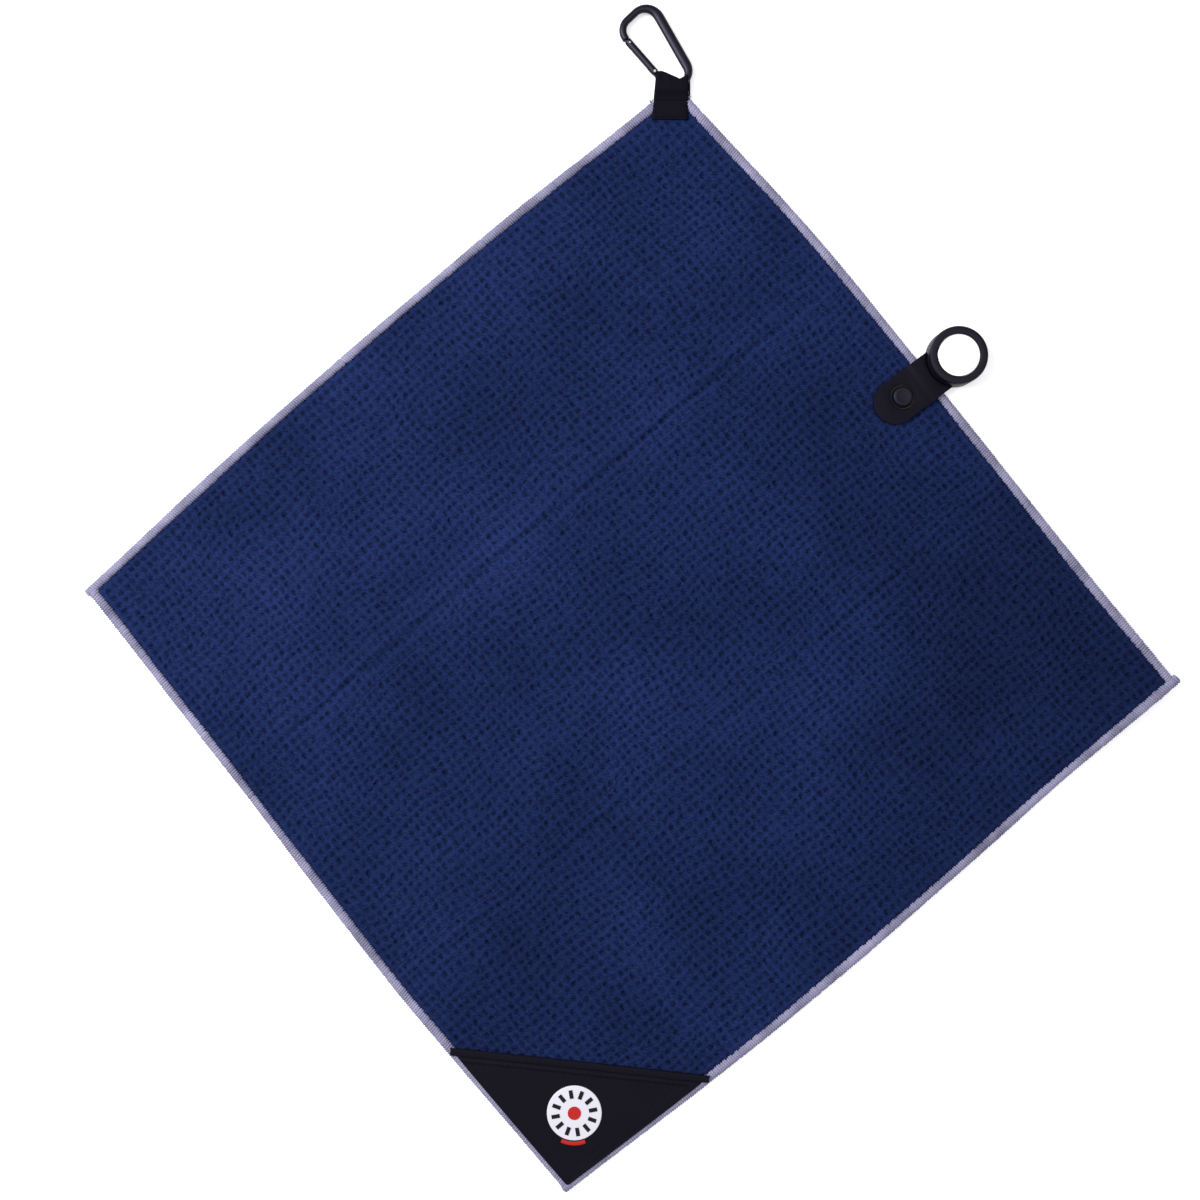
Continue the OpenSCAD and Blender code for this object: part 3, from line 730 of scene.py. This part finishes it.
pocket = {
    "left": 98.0,           # from the towel's corner to the mouth along each side
    "right": 95.0,
    "inset": 3.0,
    "top": 4.15,
    "thickness": 0.8,
    "hemWidth": 3.8,
    "hemHeight": 1.4,
    "mouth": 136.0,         # along the mouth, and from there to the towel's corner
    "depth": 68.0,
    "grid": (110, 90),
    "waves": [(58, 20, 0.5, 0.16), (31, 100, 1.9, 0.07), (17, -35, 3.0, 0.03)],
    "hemDitch": 0.75,
    "seamDitch": 0.16,
    "stitches": 37,
    "badge": (-181.3, -175.7),
    "badgeRadius": 14.5,
    "yarn": "#0f0d18",
    "shadowYarn": "#0a0811",
}
pocketShare = (pocket["right"] / towel["side"], pocket["left"] / towel["side"])


def mouthPoint(p):
    # the mouth runs from the left side to the right side of the corner, p from 0 to 1
    u = pocketShare[0] * p
    v = pocketShare[1] * (1 - p)
    return patch(u, v, pocket["inset"])


def pocketPanel():
    # q runs from the towel's corner to the mouth, and p from the left side to the right side
    cols, rows = pocket["grid"]
    q, p = np.meshgrid(np.linspace(0.012, 1, rows), np.linspace(0, 1, cols), indexing="ij")
    u, v = (pocketShare[0] * p * q).ravel(), (pocketShare[1] * (1 - p) * q).ravel()
    points = patch(u, v, pocket["inset"])
    fromHem = (1 - q.ravel()) * pocket["depth"]
    fromSide = np.minimum(p.ravel(), 1 - p.ravel()) * q.ravel() * pocket["mouth"] * 0.7
    sag = ripple(points[:, 0], points[:, 1], pocket["waves"])
    fromBadge = np.hypot(points[:, 0] - pocket["badge"][0], points[:, 1] - pocket["badge"][1])
    loose = softStep(fromBadge, 15.5, 24)
    top = pocket["top"] - loose * (0.18 - sag) * softStep(fromSide, 0, 6)
    # a shallow ditch under the hem and along the sewn sides
    top -= pocket["hemDitch"] * np.exp(-((fromHem - 4.3) / 0.5) ** 2)
    top -= pocket["seamDitch"] * np.exp(-((fromSide - 1.7) / 0.5) ** 2)
    top -= 0.3 * (1 - softStep(fromSide, 0, 0.6))
    piece = sheetFrom("pocketPanel", q.shape, points, top, top - pocket["thickness"])
    place(piece, towelAxes)
    return piece


def pocketHem():
    # the mouth's edge, turned over on itself into a soft flat roll
    p = np.linspace(0.004, 0.996, 150)
    line = mouthPoint(p)
    inward = -leftOf(line)      # towards the towel's corner
    sides = 20
    angle = np.arange(sides) / sides * 2 * math.pi
    across = np.sign(np.cos(angle)) * np.abs(np.cos(angle)) ** 0.55
    up = np.sign(np.sin(angle)) * np.abs(np.sin(angle)) ** 0.7
    wave = 0.12 * np.sin(p * 31) + 0.08 * np.sin(p * 73 + 1)
    half = pocket["hemWidth"] / 2
    offset = half + wave[:, None] + half * across
    flat = line[:, None, :] + inward[:, None, :] * offset[:, :, None]
    pinch = 1 - 0.12 * (0.5 + 0.5 * np.cos(p * pocket["stitches"] * 2 * math.pi))   # drawn in at each stitch
    z = 3.2 + pocket["hemHeight"] / 2 + pocket["hemHeight"] / 2 * up * pinch[:, None]
    rings = np.concatenate([flat, z[:, :, None]], -1) * mm
    piece = tubeFrom("pocketHem", rings, p * pocket["mouth"], np.linspace(0, 11, sides + 1))
    place(piece, towelAxes)
    return piece


def wovenPolyesterTwill():
    # tightly woven matt polyester: near black and smooth, with a faint slanting band every 3 mm
    material, shader, where = newMaterial("wovenPolyesterTwill")
    slanted = addNode(material, "Mapping", {"Vector": where, "Rotation": (0, 0, math.radians(28))})
    twill = addNode(material, "TexWave", {
        "Vector": slanted, "Scale": 100, "Distortion": 0.4, "Detail": 1}, "Fac", bands_direction="X")
    dust = addNode(material, "TexNoise", {"Vector": where, "Scale": 70, "Detail": 4}, "Fac")
    tone = addNode(material, "Math", {0: twill, 1: 0.25, 2: dust}, operation="MULTIPLY_ADD")
    colour = addNode(material, "Mix", {
        "Factor": tone, "A": linear(pocket["shadowYarn"]), "B": linear(pocket["yarn"])}, "Result",
        data_type="RGBA")
    bump = addNode(material, "Bump", {"Height": twill, "Strength": 0.35, "Distance": 0.06 * mm})
    setSockets(material, shader, {
        "Base Color": colour, "Roughness": 0.75, "Specular IOR Level": 0.1, "Normal": bump})
    return material


print("sewing the corner pocket")
pocketMaterial = wovenPolyesterTwill()
panel = pocketPanel()
hem = pocketHem()
for piece, node in ((panel, "pocket_panel"), (hem, "pocket_hem")):
    dress(piece, pocketMaterial)
    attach(piece, "pocket_third")
    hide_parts(node)

carabiner = {
    "rod": 2.0,             # radius of the rod
    "spine": 5.4,           # width of the side opposite the gate
    "bends": [(0.0, 0.0, 8.0), (28.5, -2.7, 8.35), (28.8, 3.4, 7.3)],   # centre and radius of each bend
    "stub": 3.6,            # rod between the narrow bend and the gate's pivot
    "pivotGap": 2.6,
    "gate": 21.8,           # from the pivot to the nose
    "sides": 28,
    "widening": 62.0,       # the rod widens over these last degrees of its wide bend
    "endRound": 0.35,       # how far the rod's cut ends are rounded
    "black": "#0a0910",
    "sheen": "#d9d4f4",
    "plating": "#b9bcc2",
}
carabinerAxes = turnAbout(-1.5, 300.2, 3.4, 131)


def polar(bend, degrees, extra=0.0):
    x, y, r = carabiner["bends"][bend]
    a = math.radians(degrees)
    return Vector((x + (r + extra) * math.cos(a), y + (r + extra) * math.sin(a), 0))


def sharedNormal(first, second, side):
    # direction from both bends' centres to the straight line that touches them
    x1, y1, r1 = carabiner["bends"][first]
    x2, y2, r2 = carabiner["bends"][second]
    d = Vector((x2 - x1, y2 - y1))
    return math.degrees(math.atan2(d.y, d.x) + side * math.acos((r1 - r2) / d.length))


spineNormal = sharedNormal(0, 1, -1)
endNormal = sharedNormal(1, 2, -1)
gateNormal = sharedNormal(0, 2, 1)


def heading(degrees, distance):
    a = math.radians(degrees)
    return Vector((distance * math.cos(a), distance * math.sin(a), 0))


def extrudeBy(step):
    bpy.ops.mesh.extrude_region_move(TRANSFORM_OT_translate={"value": step * mm})


def spinRound(bend, start, degrees, steps, widths=(1, 1)):
    # swings the rod's end round a bend, changing its width from one value to the other on the way
    x, y, _ = carabiner["bends"][bend]
    width = [widths[0] + (widths[1] - widths[0]) * softStep(k / steps, 0, 1) for k in range(steps + 1)]
    for k in range(steps):
        bpy.ops.mesh.spin(
            steps=1, angle=-math.radians(degrees / steps), center=(x * mm, y * mm, 0), axis=(0, 0, 1))
        stretch = width[k + 1] / width[k]
        outer = polar(bend, start + degrees * (k + 1) / steps, carabiner["rod"])
        bpy.ops.transform.resize(value=(stretch, stretch, 1), center_override=outer * mm)


def carabinerFrame():
    clearSelection()
    stubEnd = polar(0, gateNormal) + heading(gateNormal - 90, carabiner["stub"])
    bpy.ops.mesh.primitive_circle_add(
        vertices=carabiner["sides"], radius=carabiner["rod"] * mm, location=stubEnd * mm, fill_type="NGON",
        rotation=(math.pi / 2, 0, math.radians(gateNormal)))
    piece = bpy.context.object
    piece.name = "carabinerFrame"
    bpy.ops.object.transform_apply()
    editWhole(piece)
    bpy.ops.mesh.inset(thickness=0.5 * mm)
    bpy.ops.transform.translate(value=heading(gateNormal - 90, carabiner["endRound"] * mm))
    bpy.ops.mesh.select_all(action="INVERT")
    bpy.ops.mesh.region_to_loop()
    extrudeBy(heading(gateNormal + 90, carabiner["stub"]))
    # the rod widens inwards through the end of one bend, stays wide along the spine and narrows in the next
    wide = carabiner["spine"] / 2 / carabiner["rod"]
    turn = spineNormal + 360 - gateNormal
    widening = carabiner["widening"]
    spinRound(0, gateNormal, turn - widening, 18)
    spinRound(0, gateNormal + turn - widening, widening, 12, (1, wide))
    extrudeBy(polar(1, spineNormal) - polar(0, spineNormal))
    turn = endNormal - spineNormal
    spinRound(1, spineNormal, turn, 18, (wide, 1))
    extrudeBy(polar(2, endNormal) - polar(1, endNormal))
    spinRound(2, endNormal, gateNormal - endNormal, 14)
    tip = heading(gateNormal + 90, carabiner["endRound"])
    extrudeBy(tip)
    bpy.ops.transform.resize(value=(0.82, 0.82, 0.82), center_override=(polar(2, gateNormal) + tip) * mm)
    bpy.ops.mesh.edge_face_add()
    bpy.ops.mesh.select_all(action="SELECT")
    bpy.ops.mesh.remove_doubles(threshold=0.01 * mm)
    faceOutward(piece)
    return piece


def plateAt(name, x0, x1, halfWidth, halfThick):
    # a small flat plate in the gate's axes
    clearSelection()
    bpy.ops.mesh.primitive_cube_add(size=1, location=((x0 + x1) / 2 * mm, 0, 0))
    piece = bpy.context.object
    piece.name = name
    piece.scale = ((x1 - x0) * mm, 2 * halfWidth * mm, 2 * halfThick * mm)
    bpy.ops.object.transform_apply()
    applyModifier(piece, "BEVEL", width=0.15 * mm, segments=2)
    return piece


def cutAway(piece, cutter):
    applyModifier(piece, "BOOLEAN", operation="DIFFERENCE", object=cutter, solver="EXACT")
    bpy.data.objects.remove(cutter)


def upright(name, radius, low, high, x=0.0, y=0.0, sides=64):
    clearSelection()
    bpy.ops.mesh.primitive_cylinder_add(vertices=sides, radius=radius * mm, depth=(high - low) * mm,
                                        location=(x * mm, y * mm, (low + high) / 2 * mm))
    bpy.context.object.name = name
    bpy.ops.object.transform_apply()
    return bpy.context.object


print("bending the carabiner")
# satin black rod with long soft highlights, and bare metal as it leaves a stamping tool
anodised = grainedSurface("anodisedAluminiumSatin", carabiner["black"], (420, 4), (0.28, 0.42), {
    "Specular IOR Level": 0.4, "Specular Tint": linear(carabiner["sheen"])}, (0.15, 0.02))
steel = grainedSurface("zincPlatedSteel", carabiner["plating"], (300, 4), (0.2, 0.34), {"Metallic": 1.0})
frameRod = carabinerFrame()
pivotAt = polar(0, gateNormal) + heading(gateNormal - 90, carabiner["stub"] + carabiner["pivotGap"])
gateAxes = turnAbout(pivotAt.x, pivotAt.y, 0, gateNormal - 90)
tongue = plateAt("tongue", -3.2, 0.6, 1.6, 0.7)
hook = plateAt("hook", carabiner["gate"] - 3.1, carabiner["gate"] + 1.5, 1.3, 0.7)
cutAway(hook, upright("pinSeat", 0.72, -2, 2, x=carabiner["gate"] - 1.7, y=-0.2, sides=20))
cutAway(tongue, upright("rivetHole", 0.7, -2, 2, sides=20))
for plate in (tongue, hook):
    place(plate, gateAxes)
carabinerPiece = joined("carabinerFrame", [frameRod, tongue, hook])
place(carabinerPiece, carabinerAxes)
smooth(carabinerPiece, 50)
dress(carabinerPiece, anodised)
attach(carabinerPiece, "carabiner")
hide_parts("carabiner_frame")
dress(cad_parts["carabiner_gate"], anodised)
for node in ("gate_rivet", "gate_latch_pin", "gate_plunger", "gate_spring"):
    dress(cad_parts[node], steel)

clip = {
    "strapHalf": 11.5,
    "reach": 39.6,          # from the puck's centre to the centre of the strap's round end
    "flapLow": 2.72,
    "flapThick": 1.78,
    "rise": 0.78,           # the flap climbs this much to pass over the edging
    "riseFrom": 24.4,
    "riseTo": 20.9,
    "innerEnd": 8.5,        # both straps reach in to here, inside the puck
    "backThick": 1.4,
    "postHole": 3.52,
    "neckAt": (12.0, 2.35),     # along the strap and up
    "neckSize": (6.6, 2.2),
    "bendFrom": 15.2,       # on the real clip the flap lifts by bending between these distances from the puck's centre
    "bendTo": 19.2,
    "puckRadius": 15.3,
    "puckHeight": 12.8,
    "puckGroove": 0.75,     # between the flap's curved end and the puck
    "magnetRadius": 11.1,
    "seat": (34.8, 6.9),
    "button": (34.3, 5.4),
    "rubber": "#0a0811",
    "puckBlack": "#0c0b12",
    "dust": "#d6d1f0",
    "acetal": "#0b0a0e",
    "nickel": "#f2efec",
}


def turned(name, profile, x=0.0, steps=96, whole=360.0):
    # a closed profile of (radius, height) points swung round an upright axis
    clearSelection()
    bpy.ops.mesh.primitive_plane_add(size=0.001)
    piece = bpy.context.object
    piece.name = name
    editWhole(piece)
    bpy.ops.mesh.merge(type="CENTER")
    first = Vector((profile[0][0] + x, 0, profile[0][1]))
    bpy.ops.transform.translate(value=first * mm)
    for (r0, z0), (r1, z1) in zip(profile, profile[1:]):
        extrudeBy(Vector((r1 - r0, 0, z1 - z0)))
    bpy.ops.mesh.select_all(action="SELECT")
    bpy.ops.mesh.spin(steps=steps, angle=-math.radians(whole), center=(x * mm, 0, 0), axis=(0, 0, 1))
    bpy.ops.mesh.select_all(action="SELECT")
    bpy.ops.mesh.remove_doubles(threshold=0.005 * mm)
    faceOutward(piece)
    return piece


def roundedEdges(piece, width):
    applyModifier(piece, "BEVEL", width=width * mm, segments=3, limit_method="ANGLE",
                  angle_limit=math.radians(50))


def strapBlank(name, low, high):
    # the strap's round end, cut in half and drawn out towards the puck in steps
    piece = upright(name, clip["strapHalf"], low, high, x=clip["reach"], sides=96)
    editWhole(piece)
    middle = (clip["reach"] * mm, 0, 0)
    bpy.ops.mesh.bisect(plane_co=middle, plane_no=(1, 0, 0), clear_inner=True, use_fill=True)
    return piece


def clipFlap():
    low, high = clip["flapLow"], clip["flapLow"] + clip["flapThick"]
    piece = strapBlank("clipFlap", low, high)
    extrudeBy(Vector((clip["riseFrom"] - clip["reach"], 0, 0)))
    steps = 8
    for k in range(steps):      # eased up over the edging
        lift = clip["rise"] * (softStep((k + 1) / steps, 0, 1) - softStep(k / steps, 0, 1))
        extrudeBy(Vector(((clip["riseTo"] - clip["riseFrom"]) / steps, 0, lift)))
    for k in range(10):
        extrudeBy(Vector(((clip["innerEnd"] - clip["riseTo"]) / 10, 0, 0)))
    bpy.ops.object.mode_set(mode="OBJECT")
    cutAway(piece, upright("puckCut", clip["puckRadius"] + clip["puckGroove"], -5, 20, sides=128))
    cutAway(piece, upright("seatCut", clip["seat"][1] + 0.02, -5, 20, x=clip["seat"][0], sides=96))
    roundedEdges(piece, 0.45)
    return piece


def clipBackStrap():
    piece = strapBlank("clipBackStrap", 0.02, clip["backThick"])
    extrudeBy(Vector((clip["innerEnd"] - clip["reach"], 0, 0)))
    clearSelection()
    # its neck rises beside the puck, up to the flap
    bpy.ops.mesh.primitive_cube_add(size=1, location=(clip["neckAt"][0] * mm, 0, clip["neckAt"][1] * mm))
    neck = bpy.context.object
    neck.scale = (clip["neckSize"][0] * mm, 2 * clip["strapHalf"] * mm, clip["neckSize"][1] * mm)
    bpy.ops.object.transform_apply()
    applyModifier(piece, "BOOLEAN", operation="UNION", object=neck, solver="EXACT")
    bpy.data.objects.remove(neck)
    cutAway(piece, upright("puckCut", clip["puckRadius"] + 0.02, -5, 20, sides=128))
    cutAway(piece, upright("postCut", clip["postHole"], -5, 20, x=clip["button"][0]))
    roundedEdges(piece, 0.35)
    return piece


def puckHousing():
    r, h, m = clip["puckRadius"], clip["puckHeight"], clip["magnetRadius"]
    return turned("puckHousing", [
        (12.55, 0.02), (r - 0.6, 0.02), (r, 0.6), (r, 1.5), (r - 0.22, 1.75), (r, 2.0), (r, h - 1.0),
        (r - 0.35, h - 0.3), (r - 1.1, h), (m + 0.95, h), (m + 0.45, h - 0.16), (m + 0.16, h - 0.55),
        (m + 0.12, h - 1.2), (13.02, h - 1.2), (13.02, 1.62), (12.55, 1.62), (12.55, 0.02)], steps=128)


def dustyMatt(name, colour, grainHeight, shine):
    # moulded silicone rubber or spun thread: very dark and matt, with a fine grain and a little dust
    material, shader, where = newMaterial(name)
    grain = addNode(material, "TexNoise", {"Vector": where, "Scale": 2600, "Detail": 2}, "Fac")
    dust = addNode(material, "TexNoise", {"Vector": where, "Scale": 90, "Detail": 5, "Roughness": 0.7}, "Fac")
    shade = addNode(material, "MapRange", {"Value": dust, "To Min": 0.85, "To Max": 1.25})
    body = addNode(material, "VectorMath", {0: linear(colour)[:3], "Scale": shade}, operation="SCALE")
    bump = addNode(material, "Bump", {"Height": grain, "Strength": 0.4, "Distance": grainHeight * mm})
    setSockets(material, shader, {
        "Base Color": body, "Roughness": 0.62 - 0.5 * shine, "Specular IOR Level": shine,
        "Specular Tint": linear(clip["dust"]), "Normal": bump})
    return material


print("moulding the magnet clip")
strapRubber = dustyMatt("siliconeStrapRubber", clip["rubber"], 0.03, 0.14)
puckRubber = dustyMatt("siliconePuckRubber", clip["puckBlack"], 0.02, 0.3)
acetal = grainedSurface("blackMouldedAcetal", clip["acetal"], (200, 3), (0.12, 0.26), {
    "Specular IOR Level": 0.25})
nickel = grainedSurface("polishedNickelPlate", clip["nickel"], (300, 4), (0.08, 0.14), {"Metallic": 1.0})
flap = clipFlap()
backStrap = clipBackStrap()
housing = puckHousing()
x, r = clip["seat"]
low = clip["flapLow"]
ring = turned("buttonSeatRing", [
    (5.5, low + 0.05), (r, low + 0.05), (r, low + 1.35), (r - 0.2, low + 1.55), (r - 0.4, low + 1.5),
    (r - 0.55, low + 1.3), (r - 0.6, low + 0.45), (5.5, low + 0.3), (5.5, low + 0.05)], x=x)
x, r = clip["button"]
head = turned("buttonHead", [
    (0, 2.6), (r - 0.3, 2.6), (r, 2.9), (r, 4.2), (r - 0.25, 4.75), (r - 0.8, 5.1), (r - 1.5, 5.2),
    (r - 2.1, 5.16), (r - 2.7, 5.0), (r - 3.6, 4.9), (0, 4.86)], x=x)
r = clip["magnetRadius"]
magnet = turned("magnetDisc", [
    (0, 3.22), (r, 3.22), (r, 12.1), (r - 0.1, 12.3), (r - 0.3, 12.39), (r - 0.6, 12.4), (0, 12.4)],
    steps=128)
# each piece with its look, its slot, the body it replaces and the angle that still looks round
for piece, material, slotName, node, degrees in (
        (flap, strapRubber, "strap_rubber", "clip_flap", 38),
        (backStrap, strapRubber, "strap_rubber", "clip_back_strap", 38),
        (housing, puckRubber, "puck_rubber", "puck_housing", 34),
        (ring, acetal, "black_acetal", "button_seat_ring", 38),
        (head, puckRubber, "black_acetal", "button_head", 38),
        (magnet, nickel, "nickel", "magnet_disc", 38)):
    place(piece, clipAxes)
    smooth(piece, degrees)
    dress(piece, material)
    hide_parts(node)
for piece in (backStrap, housing, head, magnet):
    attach(piece, "middle_third")
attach(ring, "clip_flap")
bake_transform(flap)
dress(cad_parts["steel_cup"], steel)
dress(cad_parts["towel_eyelet"], steel)
dress(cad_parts["button_post"], acetal)
dress(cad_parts["puck_base_cover"], puckRubber)

badge = {
    "z": 4.2,
    "thickness": 0.5,
    "white": "#d9d7e2",
    "black": "#0d0c12",
    "red": "#b5201c",
    "arcAt": -42.0,         # direction of the red arc from the badge's centre, in the towel's axes
    "arcSpan": 46.0,
    "arcInner": 15.1,
    "arcOuter": 17.1,
    "arcThick": 0.3,
    "thread": "#0b0a0e",
}


def printedPlastic(name, colour):
    # screen print on soft moulded plastic: even colour, satin, with a faint orange-peel surface
    return grainedSurface(name, colour, (700, 3), (0.45, 0.62), {"Specular IOR Level": 0.2}, (0.2, 0.02))


print("printing the badge")
whitePrint = printedPlastic("whiteMouldedPrint", badge["white"])
blackPrint = printedPlastic("blackScreenPrint", badge["black"])
redPrint = printedPlastic("redScreenPrint", badge["red"])
r, low = pocket["badgeRadius"], badge["z"]
top = low + badge["thickness"]
disc = turned("badgeDisc", [
    (0, low), (r - 0.1, low), (r, low + 0.12), (r - 0.05, top - 0.18), (r - 0.25, top - 0.02), (r - 0.6, top),
    (0, top)])
inner, outer, top = badge["arcInner"], badge["arcOuter"], low + badge["arcThick"]
arc = turned("badgeArc", [
    (inner, low), (outer, low), (outer, top - 0.05), (outer - 0.1, top), (inner + 0.1, top),
    (inner, top - 0.05), (inner, low)], steps=24, whole=badge["arcSpan"])
# its two cut ends are filled in
editWhole(arc)
bpy.ops.mesh.select_all(action="DESELECT")
bpy.ops.mesh.select_non_manifold()
bpy.ops.mesh.edge_face_add()
faceOutward(arc)
place(arc, turnAbout(0, 0, 0, badge["arcAt"] - 90 - badge["arcSpan"] / 2))
badgeAxes = towelAxes @ turnAbout(pocket["badge"][0], pocket["badge"][1], 0, 0)
for piece, material, slotName, node in ((disc, whitePrint, "white_print", "badge_disc"),
                                        (arc, redPrint, "red_print", "badge_bar")):
    place(piece, badgeAxes)
    smooth(piece, 38)
    dress(piece, material)
    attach(piece, "pocket_third")
    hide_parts(node)
dress(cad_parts["badge_marks"], blackPrint)
dress(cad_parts["badge_dot"], redPrint)
blackThread = dustyMatt("blackSpunThread", badge["thread"], 0.05, 0.1)
dress(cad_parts["pocket_stitches"], blackThread)
dress(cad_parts["loop_stitches"], blackThread)

studio = {
    "cameraAt": (-15.0, 18.3, 750.0),
    "cameraTurn": 5.2,
    "lens": 42.4,
    "sensor": 36,
    "keyAt": (-0.8, 0.28, 0.8),
    "keyAim": (-0.05, 0.0, 0.0),
    "keySize": 0.9,
    "keyPower": 15,
    "overheadAt": (0.1, 0.0, 1.6),
    "overheadAim": (0.0, 0.0, 0.0),
    "overheadSize": 2.3,
    "overheadPower": 15,
    "sky": 0.3,
    "skyColour": "#f4f5fa",
    "tableWhite": "#fbfbfc",
    "tableGlow": 0.4,       # the white table is lit from below, so shadows on it stay faint
}


def studioFloor():
    clearSelection()
    bpy.ops.mesh.primitive_plane_add(size=8, location=(0, 0, -0.0002))
    floor = bpy.context.object
    floor.name = "studioFloor"
    material, shader, _ = newMaterial("opalAcrylicTable")
    setSockets(material, shader, {
        "Base Color": linear(studio["tableWhite"]), "Roughness": 0.95, "Specular IOR Level": 0.1,
        "Emission Color": (1, 1, 1, 1), "Emission Strength": studio["tableGlow"]})
    floor.data.materials.append(material)


def softbox(name, at, aim, size, power):
    light = bpy.data.lights.new(name, "AREA")
    light.energy = power
    light.shape = "DISK"
    light.size = size
    lamp = bpy.data.objects.new(name, light)
    lamp.location = at
    lamp.rotation_euler = (Vector(aim) - Vector(at)).to_track_quat("-Z", "Y").to_euler()
    bpy.context.scene.collection.objects.link(lamp)


print("setting the studio")
studioFloor()
for side in ("key", "overhead"):
    softbox(f"{side}Softbox", *[studio[side + part] for part in ("At", "Aim", "Size", "Power")])
world = bpy.data.worlds.new("studioSky")
bpy.context.scene.world = world
world.use_nodes = True
background = world.node_tree.nodes["Background"]
background.inputs["Color"].default_value = linear(studio["skyColour"])
background.inputs["Strength"].default_value = studio["sky"]
bpy.context.scene.view_settings.view_transform = "Standard"

camera = bpy.data.objects.new("camera", bpy.data.cameras.new("camera"))
bpy.context.scene.collection.objects.link(camera)
camera.location = Vector(studio["cameraAt"]) * mm
camera.rotation_euler = (0, 0, math.radians(studio["cameraTurn"]))
camera.data.lens = studio["lens"]
camera.data.sensor_width = studio["sensor"]
camera.data.clip_start = 0.01
bpy.context.scene.camera = camera
